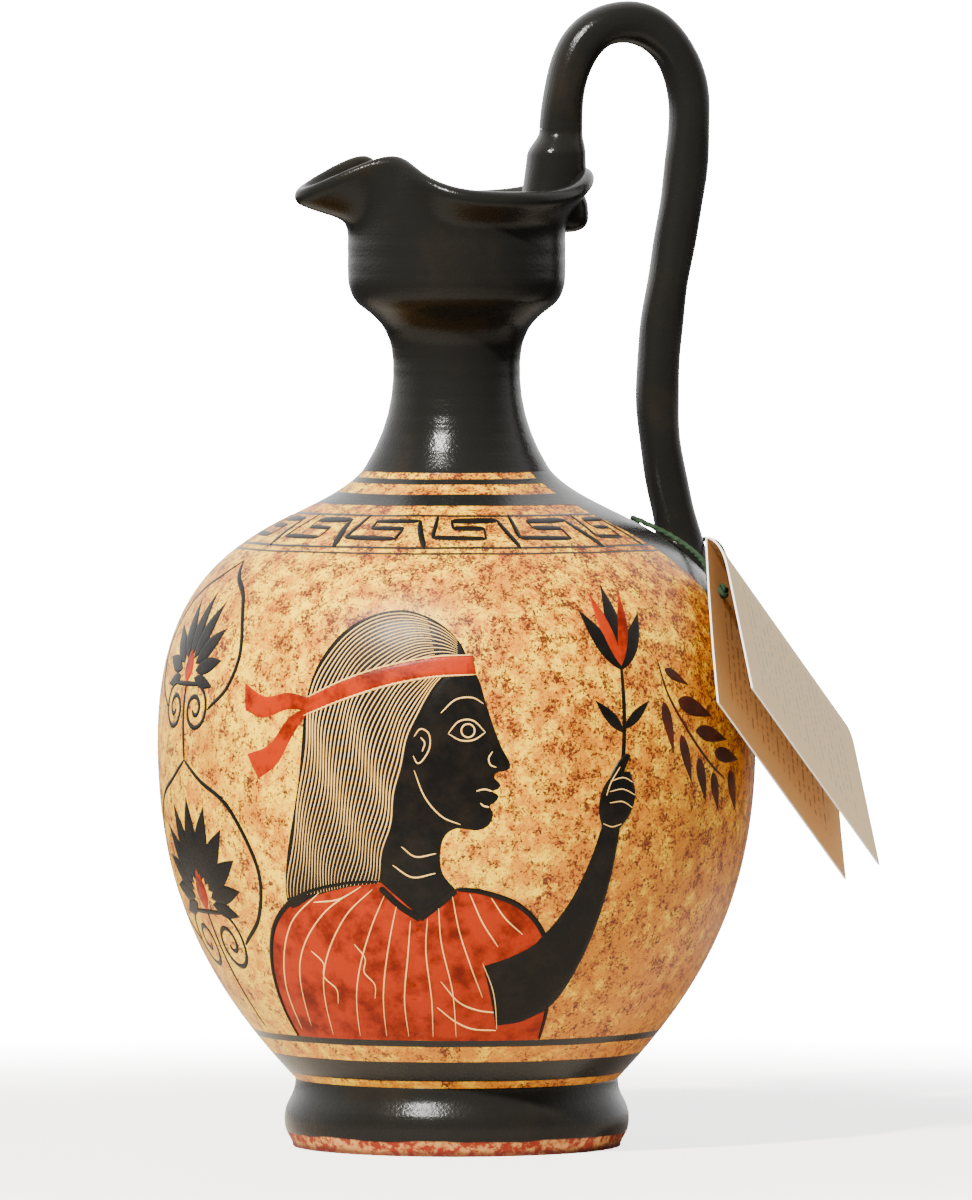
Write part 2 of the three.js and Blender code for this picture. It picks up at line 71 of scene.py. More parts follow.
# %% Camera
CAMERA_AZIMUTH = math.radians(-15)
CAMERA_DISTANCE = 3.3
CAMERA_HEIGHT = 0.25
CAMERA_LENS = 404
SENSOR_WIDTH = 36
AIM_RIGHT = 7.2 * MM
AIM_HEIGHT = 133.8 * MM

to_camera = np.array([math.sin(CAMERA_AZIMUTH), -math.cos(CAMERA_AZIMUTH), 0])
to_right = np.array([math.cos(CAMERA_AZIMUTH), math.sin(CAMERA_AZIMUTH), 0])
aim = Vector(to_right * AIM_RIGHT) + Vector((0, 0, AIM_HEIGHT))
camera = bpy.data.objects.new("camera", bpy.data.cameras.new("camera"))
camera.data.lens = CAMERA_LENS
camera.data.sensor_width = SENSOR_WIDTH
camera.location = Vector(to_camera * CAMERA_DISTANCE) + aim
camera.location.z = CAMERA_HEIGHT
camera.rotation_mode = "QUATERNION"
camera.rotation_quaternion = (aim - camera.location).to_track_quat("-Z", "Y")
bpy.context.scene.collection.objects.link(camera)
bpy.context.scene.camera = camera
print("camera at", [round(v, 3) for v in camera.location])

# %% [markdown]
# ## Skins
# Every new piece is a grid of points, worked out as one array, whose rows or columns may come round again.
# Welding closes its seams and poles, and edges that turn sharply keep a crisp shade.

# %% Skins from grids
WELD = 1e-6
SHARP_ANGLE = math.radians(48)


def grid_faces(rows, columns, round_rows, round_columns):
    """Quads (f, 4) of a grid and their corners' UVs (f, 4, 2): column over columns, row over rows."""
    spans = np.arange(rows - (not round_rows)), np.arange(columns - (not round_columns))
    i, j = np.meshgrid(*spans, indexing="ij")
    near, far = i * columns, (i + 1) % rows * columns
    left, right = j, (j + 1) % columns
    quads = np.stack([near + left, near + right, far + right, far + left], -1)
    corners = ((j, i), (j + 1, i), (j + 1, i + 1), (j, i + 1))
    places = np.stack([np.stack(corner, -1) for corner in corners], -2)
    return quads.reshape(-1, 4), places.reshape(-1, 4, 2) / (columns, rows)


def put_mesh(name, points, quads, places):
    """An object at the origin from points in mm, quads and UVs: doubles welded, faces turned outward."""
    mesh = bpy.data.meshes.new(name)
    mesh.from_pydata((points * MM).tolist(), [], quads.tolist())
    mesh.uv_layers.new(name="UVMap").data.foreach_set("uv", places.astype(np.float32).ravel())
    shell = bmesh.new()
    shell.from_mesh(mesh)
    bmesh.ops.remove_doubles(shell, verts=shell.verts, dist=WELD)
    bmesh.ops.recalc_face_normals(shell, faces=shell.faces)
    shell.to_mesh(mesh)
    shell.free()
    mesh.shade_smooth()
    mesh.set_sharp_from_angle(angle=SHARP_ANGLE)
    piece = bpy.data.objects.new(name, mesh)
    bpy.context.scene.collection.objects.link(piece)
    print(f"{name}: {len(mesh.polygons)} faces")
    return piece


# %% Skins and their dress
def skin(name, grid, round_rows=False, round_columns=True):
    """One grid of points (rows, columns, 3) as an object."""
    rows, columns = grid.shape[:2]
    return put_mesh(name, grid.reshape(-1, 3), *grid_faces(rows, columns, round_rows, round_columns))


def skins(name, grids):
    """Many closed grids, whose columns come round, as one object."""
    starts = np.cumsum([0] + [grid.shape[0] * grid.shape[1] for grid in grids])
    faces = [grid_faces(*grid.shape[:2], False, True) for grid in grids]
    quads = np.concatenate([quads + start for (quads, _), start in zip(faces, starts)])
    places = np.concatenate([places for _, places in faces])
    return put_mesh(name, np.concatenate([grid.reshape(-1, 3) for grid in grids]), quads, places)


def dress(piece, body, slot, finish, *replaced):
    """The piece rides on a body, stands for the named nodes and gets its finish."""
    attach(piece, body)
    if replaced:
        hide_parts(*replaced)
    piece.data.materials.append(finish)


# %% [markdown]
# ## Lines
# A thrown wall is a few rings with smooth curves between them, so its half section is a chain of cubic
# curves, each leaving and reaching its rings along short arms. Drawn lines run through a few chosen points.

# %% Bent lines
def arm(lean, pull):
    """A step of a length at an angle in degrees."""
    return np.array([math.cos(math.radians(lean)), math.sin(math.radians(lean))]) * pull


def bent(t, a, b, c, d):
    """(1-t)^3 A + 3 (1-t)^2 t B + 3 (1-t) t^2 C + t^3 D."""
    leaving = (1 - t) ** 3 * a + 3 * (1 - t) ** 2 * t * b
    return leaving + 3 * (1 - t) * t**2 * c + t**3 * d


def cubic(start, leave, arrive, end, steps=60):
    """A bent line between two points with an arm at each: A, A + leave, D + arrive and D."""
    a, d = np.array(start, float), np.array(end, float)
    return bent(np.linspace(0, 1, steps)[:, None], a, a + leave, d + arrive, d)


# %% Steps along a line
FLOW_FINENESS = 8


def lengths(line):
    """Distance along a line at each of its points."""
    return np.concatenate([[0], np.cumsum(np.linalg.norm(np.diff(line, axis=0), axis=1))])


def evenly(line, steps, low=None, high=None):
    """The line, or its stretch between two distances along it, at even steps."""
    run = lengths(line)
    wanted = np.linspace(0 if low is None else low, run[-1] if high is None else high, steps)
    return np.stack([np.interp(wanted, run, axis) for axis in line.T], -1)


def directions(line):
    """Unit steps along a line (n, k): the change between a point's neighbours, over its length."""
    along = np.gradient(line, axis=0)
    return along / np.linalg.norm(along, axis=1)[:, None]


def flowing(points, steps):
    """A smooth line through points at even steps: each stretch is a cubic that heeds its neighbours."""
    p = np.asarray(points, float)
    p = np.concatenate([2 * p[:1] - p[1:2], p, 2 * p[-1:] - p[-2:-1]])
    t = np.linspace(0, len(points) - 1, FLOW_FINENESS * steps)
    i = np.minimum(t.astype(int), len(points) - 2)
    f = (t - i)[:, None]
    a, b, c, d = p[i], p[i + 1], p[i + 2], p[i + 3]
    slope, curve, twist = c - a, 2 * a - 5 * b + 4 * c - d, 3 * b - a - 3 * c + d
    return evenly((2 * b + slope * f + curve * f**2 + twist * f**3) / 2, steps)


# %% [markdown]
# ## The wall's half section
# A wheel makes a wall that is alike all round, so one line from the foot to the lip gives belly, neck and
# cup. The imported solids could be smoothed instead, but their facets are coarse, and a line through the same
# rings is exact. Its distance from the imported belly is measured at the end.

# %% The wall's half section
FOOT_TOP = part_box("foot")[1].z / MM
SHOULDER_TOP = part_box("body")[1].z / MM
NECK_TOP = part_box("neck")[1].z / MM
WALL = 4.5
LIP_FOOT = 222.5
WAIST = (39.6, FOOT_TOP)
BELLY = (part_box("body")[1].x / MM, 99.4)
NECK_FOOT = (23.1, SHOULDER_TOP)
NECK = (15.6, 190.2)
CUP_FOOT = (22.2, 204.9)
CUP = (26.7, 214.5)

wall = np.concatenate([
    cubic(WAIST, arm(46.3, 31), arm(-90, 37.2), BELLY, 200),
    cubic(BELLY, arm(90, 54.4), arm(-48.8, 19.6), NECK_FOOT, 200)[1:],
    cubic(NECK_FOOT, arm(122.8, 6.6), arm(-90, 11), NECK)[1:],
    cubic(NECK, arm(90, 5.4), arm(214.8, 7.2), CUP_FOOT)[1:],
    cubic(CUP_FOOT, arm(34.8, 3.6), arm(-90, 5.5), CUP)[1:],
    [(CUP[0], LIP_FOOT)],
])
wall_run = lengths(wall)
wall_along = np.gradient(wall, wall_run, axis=0)
wall_along /= np.linalg.norm(wall_along, axis=1)[:, None]
print(f"half section of {len(wall)} points, {wall_run[-1]:.1f} mm long")


# %% Places on the wall
def wall_at(height, off=0.0):
    """Radius and height of the wall's outside at a height, moved off it by a distance along its normal."""
    out, rise = (np.interp(height, wall[:, 1], axis) for axis in (wall_along[:, 1], -wall_along[:, 0]))
    return np.interp(height, wall[:, 1], wall[:, 0]) + out * off, height + rise * off


def wall_stretch(low, high, rows, off=0.0):
    """Half section (rows, 2) between two heights at even steps, moved off the wall and cut square."""
    run = np.interp((low, high), wall[:, 1], wall_run)
    radius, height = wall_at(evenly(wall, rows, *run)[:, 1], off)
    return np.stack([radius, np.clip(height, low, high)], -1)


def turned(section, turns):
    """A half section (k, 2) carried round the axis: (r cos a, r sin a, z)."""
    angle = np.linspace(0, 2 * np.pi, turns, endpoint=False)[:, None]
    radius, height = section[:, 0], section[:, 1]
    return np.stack(np.broadcast_arrays(radius * np.cos(angle), radius * np.sin(angle), height), -1)


node_points = np.array([v.co for v in frame["nodes"]["body"].data.vertices]) / MM
from_wall = np.hypot(node_points[:, 0], node_points[:, 1]) - wall_at(node_points[:, 2])[0]
gap = np.abs(from_wall[from_wall > -WALL / 2]).max()
print(f"fine wall and packed belly differ by {gap:.2f} mm at most")

# %% [markdown]
# ## Finishes in plain sums
# A finish is a tree of nodes. Writing one as sums is easier to read, so a small class wraps a node's output
# and lets Python's operators add Math nodes. One method makes every other node.

# %% Values
class Value:
    """A number that varies over a surface. Sums on it add Math nodes."""

    def __init__(self, paint, socket):
        self.paint = paint
        self.socket = socket

    def maths(self, operation, *values):
        """One Math node on values, as a new value."""
        return self.paint.node("ShaderNodeMath", {"operation": operation}, dict(enumerate(values)))

    def __add__(self, other):
        return self.maths("ADD", self, other)

    __radd__ = __add__

    def __sub__(self, other):
        return self.maths("SUBTRACT", self, other)

    def __rsub__(self, other):
        return self.maths("SUBTRACT", other, self)

    def __mul__(self, other):
        return self.maths("MULTIPLY", self, other)

    __rmul__ = __mul__

    def __truediv__(self, other):
        return self.maths("DIVIDE", self, other)

    def __abs__(self):
        return self.maths("ABSOLUTE", self)

    def most(self, other):
        """The greater of two values."""
        return self.maths("MAXIMUM", self, other)

    def fraction(self):
        """What is left over the whole number, so that a pattern comes again."""
        return self.maths("FRACT", self)

    def turn_from(self, across):
        """Angle in degrees of a point that is this far along y and across along x."""
        return self.maths("ARCTAN2", self, across) * math.degrees(1)

    def rising(self, low, high):
        """0 below low, 1 above high and smooth between."""
        values = {"Value": self, "From Min": low, "From Max": high}
        return self.paint.node("ShaderNodeMapRange", {"interpolation_type": "SMOOTHSTEP"}, values)

    def inside(self, low, high, soft):
        """1 between low and high, with edges that are soft on both sides."""
        return self.rising(low - soft, low + soft) - self.rising(high - soft, high + soft)


# %% Paint
class Paint:
    """One finish: a material whose nodes are added by one method."""

    def __init__(self, name, specular):
        self.holder = bpy.data.materials.new(name)
        self.holder.use_nodes = True
        self.tree = self.holder.node_tree
        self.shader = self.tree.nodes["Principled BSDF"]
        self.shader.inputs["Specular IOR Level"].default_value = specular

    def node(self, kind, settings=(), sockets=(), output=0):
        """A node of a kind with its settings, its sockets set to values or linked, as one of its outputs."""
        made = self.tree.nodes.new(kind)
        for key, value in dict(settings).items():
            setattr(made, key, value)
        for key, value in dict(sockets).items():
            if isinstance(value, Value):
                self.tree.links.new(value.socket, made.inputs[key])
            else:
                made.inputs[key].default_value = value
        return Value(self, made.outputs[output])

    def feed(self, **values):
        """Links what varies to the shader's own sockets."""
        for socket, value in values.items():
            self.tree.links.new(value.socket, self.shader.inputs[socket.replace("_", " ").title()])
        return self.holder

    def place(self, output="Object"):
        """Where a point of the surface is, in one of the sets of coordinates."""
        return self.node("ShaderNodeTexCoord", output=output)

    def axes(self, vector):
        """The three numbers of a vector."""
        split = self.node("ShaderNodeSeparateXYZ", sockets={0: vector}).socket.node
        return [Value(self, socket) for socket in split.outputs]

    def stretched(self, vector, *scale):
        """A vector times a scale for each axis, which squeezes what is drawn on it."""
        return self.node("ShaderNodeMapping", {"vector_type": "POINT"}, {"Vector": vector, "Scale": scale})

    def noise(self, vector, scale, detail=2.0, rough=0.5):
        """Soft noise about 0.5 whose spots are about 1 / scale wide."""
        sockets = {"Vector": vector, "Scale": scale, "Detail": detail, "Roughness": rough}
        return self.node("ShaderNodeTexNoise", sockets=sockets)

    def mix(self, share, first, second):
        """The first colour where share is 0, the second where it is 1."""
        return self.node("ShaderNodeMix", {"data_type": "RGBA"}, {0: share, 6: first, 7: second}, 2)

    def bump(self, height, depth, under=None):
        """The direction of a surface raised by height times depth in mm, over another relief."""
        sockets = {"Height": height, "Distance": depth * MM, "Strength": 1.0}
        if under:
            sockets["Normal"] = under
        return self.node("ShaderNodeBump", sockets=sockets)


# %% [markdown]
# ## Black slip
# The slip is a thin, shiny coat of fine clay. It is nearly black, browner where the brush left it thin, and
# its gloss breaks into sparks because the surface under it is grainy and keeps the marks of turning. Two
# noises of very different grain give that better than one smooth gloss.

# %% Black slip
GLOSS = 0.1
SLIP_BLACK = (0.0086, 0.0083, 0.0073, 1)
SLIP_BROWN = (0.0132, 0.0110, 0.0078, 1)
LEVEL_MARKS = (18, 18, 480)
PULLED_MARKS = (42, 3, 1)
MARK_DEPTH, GRAIN_DEPTH = 0.07, 0.08


def slip_colour(paint, place):
    """Black that goes brown in soft spots."""
    thin = paint.noise(place, 48, 4, 0.62).rising(0.5, 0.78)
    return paint.mix(thin, SLIP_BLACK, SLIP_BROWN)


def slip_relief(paint, place, marks):
    """Grain of the clay, over lines that the turning or pulling left."""
    lines = paint.bump(paint.noise(marks, 1, 3, 0.6), MARK_DEPTH)
    return paint.bump(paint.noise(place, 1250, 3, 0.6), GRAIN_DEPTH, lines)


def slip_finish(name, run, squeeze):
    """Slip with marks along one set of coordinates: the noise of the marks is squeezed across them."""
    paint = Paint(name, GLOSS)
    place = paint.place()
    rough = 0.14 + 0.10 * paint.noise(place, 130, 3)
    relief = slip_relief(paint, place, paint.stretched(paint.place(run), *squeeze))
    return paint.feed(base_color=slip_colour(paint, place), roughness=rough, normal=relief)


wall_slip = slip_finish("turned_black_slip", "Object", LEVEL_MARKS)
handle_slip = slip_finish("pulled_black_slip", "UV", PULLED_MARKS)
print("slips:", wall_slip.name, handle_slip.name)

# %% [markdown]
# ## Sponged clay
# The belly is cream clay, stained orange in clouds and dabbed with a sponge, which leaves a fine red-brown
# grain with clusters of specks of half a millimetre to a millimetre. Each dab is a noise that is cut off
# sharply, laid over the last from the coarsest to the finest. The orange and an ochre wash also gather low
# down and on the handle's side, away from the key light: partly stain and partly painted shade.

# %% Sponged clay
SATIN = 0.2
CREAM = (0.97, 0.60, 0.003, 1)
STAIN = (0.66, 0.235, 0.0004, 1)
AMBER = (0.50, 0.155, 0.0003, 1)
OCHRE_AND_SHADE = (0.37, 0.12, 0.006, 1)
GRAIN = (0.37, 0.098, 0.008, 1)
RUST = (0.26, 0.046, 0.005, 1)
SPECK = (0.080, 0.014, 0.006, 1)
# How far stain and painted shade gather on the handle's side and low down, away from the key light.
STAIN_AND_SHADE_SIDE, STAIN_AND_SHADE_LOW, STAIN_DRIFT = 1.6, 0.8, 0.28
MID_HEIGHT = 0.1


def sponged_and_shaded(paint, place):
    """Cream with orange patches, amber clouds and an ochre wash, under grain, dabs and specks; patches and
    wash darken low down and on the handle's side, partly stain and partly painted shade.
    """
    x, _, z = paint.axes(place)
    above = z - MID_HEIGHT
    broad = paint.noise(place, 15, 2)
    patches = paint.noise(place, 210, 5, 0.7)
    clusters = paint.noise(place, 250, 4, 0.7)
    dabs = paint.noise(place, 800, 3, 0.7)
    grain = paint.noise(place, 1250, 4, 0.8)
    specks = paint.noise(place, 1500, 2, 0.7)
    # Grows low down and on the handle's side, away from the key light: partly stain, partly painted shade.
    side = STAIN_AND_SHADE_SIDE * x - STAIN_AND_SHADE_LOW * above + STAIN_DRIFT * (broad - 0.5)
    colour = paint.mix((patches + 0.5 * side).rising(0.37, 0.59), CREAM, STAIN)
    clouds = (paint.noise(place, 62, 4, 0.65) + 0.6 * above).rising(0.47, 0.68)
    colour = paint.mix(0.75 * clouds, colour, AMBER)
    # The ochre wash darkens that side: partly ochre stain, partly painted shade.
    wash_and_shade = (0.3 * (patches - 0.5) + side).rising(-0.02, 0.17)
    colour = paint.mix(0.65 * wash_and_shade, colour, OCHRE_AND_SHADE)
    near = (clusters + 0.25 * side + 0.9 * above).rising(0.36, 0.70)
    colour = paint.mix(0.6 * (grain + 0.1 * near).rising(0.53, 0.63), colour, GRAIN)
    colour = paint.mix(0.75 * (dabs + 0.17 * near).rising(0.58, 0.69), colour, RUST)
    return paint.mix(0.95 * (specks + 0.19 * near).rising(0.63, 0.68), colour, SPECK)


# %% [markdown]
# ## Painted bands
# Bands and the black field behind the handle are painted with a brush while the pot turns, so their edges
# waver a little. They could be meshes of their own, but as masks they follow the belly without a seam.

# %% Painted bands
BANDS = ((165.5, 170), (162.8, 164.1), (157.8, 160.5), (155.25, 155.75), (147.9, 148.45),
         (146.6, 147.05), (27.3, 29.0), (18.4, 23.4))
BAND_WAVER, BAND_SOFT = 0.5, 0.12
FIELD_LOW, FIELD_END = 137, 11
FIELD_ANGLE, FIELD_WIDENS = 33, 0.72
FIELD_WAVER, FIELD_SOFT = 4, 0.03


def belly_black(paint, place):
    """1 under the bands and the field behind the handle, which widens upward and ends round below."""
    x, y, z = paint.axes(place)
    waver = paint.noise(place, 60, 3) - 0.5
    height = z / MM + BAND_WAVER * waver
    over = height - FIELD_LOW
    angle = abs(y.turn_from(x)) + FIELD_WAVER * waver
    share = angle / (FIELD_ANGLE + FIELD_WIDENS * over.most(0))
    drop = (0 - over).most(0) / FIELD_END
    black = 1 - (share * share + drop * drop).rising(1 - FIELD_SOFT, 1 + FIELD_SOFT)
    for low, high in BANDS:
        black = black.most(height.inside(low, high, BAND_SOFT))
    return black


def belly_finish():
    """Sponged clay with its painted bands, which lie a little proud of it and shine more."""
    paint = Paint("sponged_clay_and_shade", SATIN)
    place = paint.place()
    black = belly_black(paint, place)
    colour = paint.mix(black, sponged_and_shaded(paint, place), slip_colour(paint, place))
    rough = 0.32 + 0.15 * paint.noise(place, 160, 3) - 0.14 * black
    grain = paint.bump(paint.noise(place, 1150, 2, 0.55), 0.05)
    return paint.feed(base_color=colour, roughness=rough, normal=paint.bump(black, 0.06, grain))


sponged_clay_and_shade = belly_finish()
print("belly finish:", sponged_clay_and_shade.name, "with", len(BANDS), "bands")

# %% [markdown]
# ## The foot's finish
# The potter holds the jug by its foot to dip it, so the slip stops short of the floor and leaves a rim of
# clay, stained red, with a painted contact shadow where it stands. One wavering height parts the two.

# %% The foot's finish
RIM_CLAY = (0.52, 0.25, 0.075, 1)
RIM_RED = (0.22, 0.022, 0.010, 1)
# Colour of a painted contact shadow, dark where the foot meets the floor.
RIM_CONTACT_SHADOW = (0.060, 0.010, 0.008, 1)
SLIP_ENDS = (3.4, 3.9)
CONTACT_SHADOW_ENDS = (0.5, 2.0)


def foot_finish():
    """Black slip above the slip's end, and red-stained clay below it with a painted contact shadow near the
    floor.
    """
    paint = Paint("foot_slip_clay_and_contact_shadow", GLOSS)
    place = paint.place()
    height = paint.axes(place)[2] / MM
    waver = paint.noise(place, 90, 4) - 0.5
    bare = 1 - (height + 1.6 * waver).rising(*SLIP_ENDS)
    red = (paint.noise(place, 380, 5, 0.75) + 0.1 * paint.noise(place, 30)).rising(0.45, 0.61)
    # Painted contact shadow along the bottom edge, where the foot stands on the floor.
    contact_shadow = 1 - (height + waver).rising(*CONTACT_SHADOW_ENDS)
    clay = paint.mix(0.85 * contact_shadow, paint.mix(red, RIM_CLAY, RIM_RED), RIM_CONTACT_SHADOW)
    colour = paint.mix(bare, slip_colour(paint, place), clay)
    rough = 0.16 + 0.16 * paint.noise(place, 130, 3) + 0.4 * bare
    relief = slip_relief(paint, place, paint.stretched(place, *LEVEL_MARKS))
    return paint.feed(base_color=colour, roughness=rough, normal=relief)


foot_slip = foot_finish()
print("foot finish:", foot_slip.name)

# %% [markdown]
# ## Foot, belly and neck
# Each is one half section carried round the axis, at the same radii as its solid but with hundreds of steps
# where the solid has dozens. The neck keeps shallow throwing rings, which the gloss shows.

# %% Foot, belly and neck
TURNS = 256
RING_PITCH, RING_DEPTH = 4.3, 0.025
FOOT_REST = (40.2, 0.0)
FOOT_BULGE = (42.3, 6.4)
FOOT_FLOOR = (22.0, 7.0)
BASE = ((0, 0), (20, 0), (39.7, 0))
FLOOR_MIDDLE = ((10, 7), (0, 7))


def throwing_rings(section):
    """The same half section with its radius rising and falling a little: r + d sin(2 pi z / p)."""
    ridges = RING_DEPTH * np.sin(2 * np.pi * section[:, 1] / RING_PITCH)
    return section + np.stack([ridges, 0 * ridges], -1)


def foot_grid():
    """Flat base, rounded edge, waist and dished floor, from the axis to the axis."""
    edge = cubic(FOOT_REST, arm(90, 1.6), arm(-90, 3.2), FOOT_BULGE, 24)
    side = cubic(FOOT_BULGE, arm(90, 5.1), arm(-90, 5.1), WAIST, 36)[1:]
    brim = wall_stretch(FOOT_TOP, LIP_FOOT, 2, -WALL)[:1]
    dish = cubic(brim[0], arm(226.3, 5.1), arm(0, 5.1), FOOT_FLOOR, 24)[1:]
    return turned(np.concatenate([BASE, edge, side, brim, dish, FLOOR_MIDDLE]), TURNS)


def wall_grid(low, high, rows, inner_rows, ringed):
    """A wall between two heights: its outside up, and its inside down, round the axis."""
    outer = wall_stretch(low, high, rows)
    inner = wall_stretch(low, high, inner_rows, -WALL)[::-1]
    return turned(np.concatenate([throwing_rings(outer) if ringed else outer, inner]), TURNS)


foot = skin("turned_foot", foot_grid(), round_rows=True, round_columns=False)
belly = skin("thrown_belly", wall_grid(FOOT_TOP, SHOULDER_TOP, 170, 60, False), round_rows=True)
neck = skin("thrown_neck", wall_grid(SHOULDER_TOP, NECK_TOP, 60, 24, True), round_rows=True)
dress(foot, "jug", "black_slip", foot_slip, "foot")
dress(belly, "jug", "painted_clay", sponged_clay_and_shade, "body")
dress(neck, "jug", "black_slip", wall_slip, "neck")

# %% [markdown]
# ## Mouth
# The potter pinches the soft rim of the cup into a spout and lifts its sides and back. So the lip is a bent
# section whose end moves round the axis: its reach and its height are sums of bell curves of the turn.

# %% The rim's line
LIP_RADIUS, LIP_RISE = 32, 9.2
SPOUT_REACH, SPOUT_DROP, SPOUT_SPREAD = 13.2, 5.1, 25
PINCH_ANGLE, PINCH_DEPTH, PINCH_RISE, PINCH_SPREAD = 32, 7, 9.5, 30
BACK_REACH, BACK_RISE, BACK_SPREAD = 2, 6, 34


def bell(angle, spread):
    """exp(-(angle / spread)^2)."""
    return np.exp(-((angle / spread) ** 2))


def rim_at(turn):
    """Middle of the rim (n, 2) at turns in degrees from the handle."""
    from_spout = 180 - np.abs(turn)
    spout = bell(from_spout, SPOUT_SPREAD)
    pinch = bell(from_spout - PINCH_ANGLE, PINCH_SPREAD) + bell(from_spout + PINCH_ANGLE, PINCH_SPREAD)
    back = bell(turn, BACK_SPREAD)
    reach = LIP_RADIUS + SPOUT_REACH * spout - PINCH_DEPTH * pinch + BACK_REACH * back
    rise = LIP_RISE - SPOUT_DROP * spout + PINCH_RISE * pinch + BACK_RISE * back
    return np.stack([reach - WALL / 2, LIP_FOOT + rise], -1)


print("rim at the spout and at the back:", rim_at(np.array([180.0, 0.0])).round(1).tolist())

# %% The lip's section
LIP_STEPS, RIM_STEPS = 22, 13
LIP_PULL, LIP_FLATNESS = 0.45, 1.6


def lip_sections(turn):
    """Outer line, round rim and inner line (n, k, 2) of the lip: a cubic from the cup's side to the rim."""
    rim = rim_at(turn)[:, None]
    foot = np.array([CUP[0] - WALL / 2, LIP_FOOT])
    span = rim - foot
    lean = np.arctan2(span[..., 1], np.maximum(span[..., 0], 0) * LIP_FLATNESS)[..., None]
    pull = np.linalg.norm(span, axis=-1, keepdims=True) * LIP_PULL
    tip = np.concatenate([np.cos(lean), np.sin(lean)], -1)
    up = np.concatenate([0 * pull, pull], -1)
    middle = bent(np.linspace(0, 1, LIP_STEPS)[None, :, None], foot, foot + up, rim - tip * pull, rim)
    along = np.gradient(middle, axis=1)
    along /= np.linalg.norm(along, axis=-1, keepdims=True)
    off = np.stack([along[..., 1], -along[..., 0]], -1) * WALL / 2
    side = np.concatenate([tip[..., 1:], -tip[..., :1]], -1)
    bend = np.linspace(0, np.pi, RIM_STEPS)[1:-1][None, :, None]
    end = rim + (side * np.cos(bend) + tip * np.sin(bend)) * WALL / 2
    return middle + off, end, middle - off


# %% Mouth
MOUTH_TURNS, CUP_ROWS, CUP_INNER_ROWS = 300, 44, 26


def all_round(section):
    """The same section (k, 2) at every turn of the mouth."""
    return np.broadcast_to(section, (MOUTH_TURNS, *section.shape))


def mouth_grid():
    """Cup and lip round the axis: outside up, over the rim and down the inside."""
    turn = np.linspace(-180, 180, MOUTH_TURNS, endpoint=False)
    outer, end, inner = lip_sections(turn)
    cup_out = all_round(throwing_rings(wall_stretch(NECK_TOP, LIP_FOOT, CUP_ROWS)))
    cup_in = all_round(wall_stretch(NECK_TOP, LIP_FOOT, CUP_INNER_ROWS, -WALL)[::-1])
    section = np.concatenate([cup_out, outer[:, 1:], end, inner[:, :0:-1], cup_in], 1)
    angle = np.radians(turn)[:, None]
    radius, height = section[..., 0], section[..., 1]
    return np.stack([radius * np.cos(angle), radius * np.sin(angle), height], -1)


mouth = skin("pinched_mouth", mouth_grid(), round_rows=True)
dress(mouth, "jug", "black_slip", wall_slip, "mouth")

# %% [markdown]
# ## The handle's line
# A pulled handle is one roll of clay, pressed on the rim with a thumb, arched high, and pressed on the
# shoulder. Its centre line is a chain of cubic curves through the rim, the peak, the outermost point, the
# bend and the root, measured from one another so that the handle moves with the jug.

# %% The handle's line
RIM_BACK = rim_at(np.array([0.0]))[0]
ROOT_HEIGHT = 143.2
CLASP_DROP = 9.5
PEAK_OUT, PEAK_RISE = 15.2, 37.8
ARCH_OUT, ARCH_FALL = 31.3, 21.4
BEND_IN, BEND_FALL = 8.1, 71
CLASP_OUT = 1.2
# The arm of a cubic that comes nearest to a quarter of a circle.
QUARTER = 0.5523

lip_x = CUP[0] + CLASP_OUT
peak = np.array([lip_x + PEAK_OUT, RIM_BACK[1] + PEAK_RISE])
outermost = np.array([lip_x + ARCH_OUT, peak[1] - ARCH_FALL])
bend = np.array([outermost[0] - BEND_IN, outermost[1] - BEND_FALL])
root = np.array([wall_at(ROOT_HEIGHT)[0], ROOT_HEIGHT])
handle_line = np.concatenate([
    cubic((lip_x, RIM_BACK[1] - CLASP_DROP), (-3.9, 28.4), (-15.5, 0), peak),
    cubic(peak, ((outermost[0] - peak[0]) * QUARTER, 0), (0, ARCH_FALL * QUARTER), outermost)[1:],
    cubic(outermost, (0, -25.6), (0, 28.4), bend)[1:],
    cubic(bend, (0, -13.3), (-3.3, 13.3), root)[1:],
])
HANDLE_LENGTH = lengths(handle_line)[-1]
print(f"handle line {HANDLE_LENGTH:.1f} mm long")

# %% [markdown]
# ## Handle
# One oval section runs along the line; the saddle, the roll and the root are stretches of it. The saddle
# swells, flares onto the inside of the lip and tucks in under the rim, and the root spreads and slopes with
# the shoulder. The lug under the rim is the tail that the thumb pushed through.

# %% The roll's thickness
THICKNESS, WIDTH = 10, 12
SADDLE_LENGTH, SADDLE_FULL, SADDLE_SHOULDER = 21, 15, 20.5
SADDLE_SWELL, SADDLE_SPREAD, SADDLE_INWARD = 1.8, 2.0, 1.1
FLARE_START, FLARE_SLOPE, FLARE_EASE = 17, 0.24, 2
TUCK_START, TUCK_SLOPE = 9, 0.75
ROOT_LENGTH, ROOT_SPREAD, ROOT_SINK = 15, 1.32, 4
ROOT_FILLET = 0.3


def root_share(run):
    """0 where the root begins to spread, 1 at its end inside the wall."""
    return np.clip((run - HANDLE_LENGTH + ROOT_LENGTH) / (ROOT_LENGTH + ROOT_SINK), 0, 1)


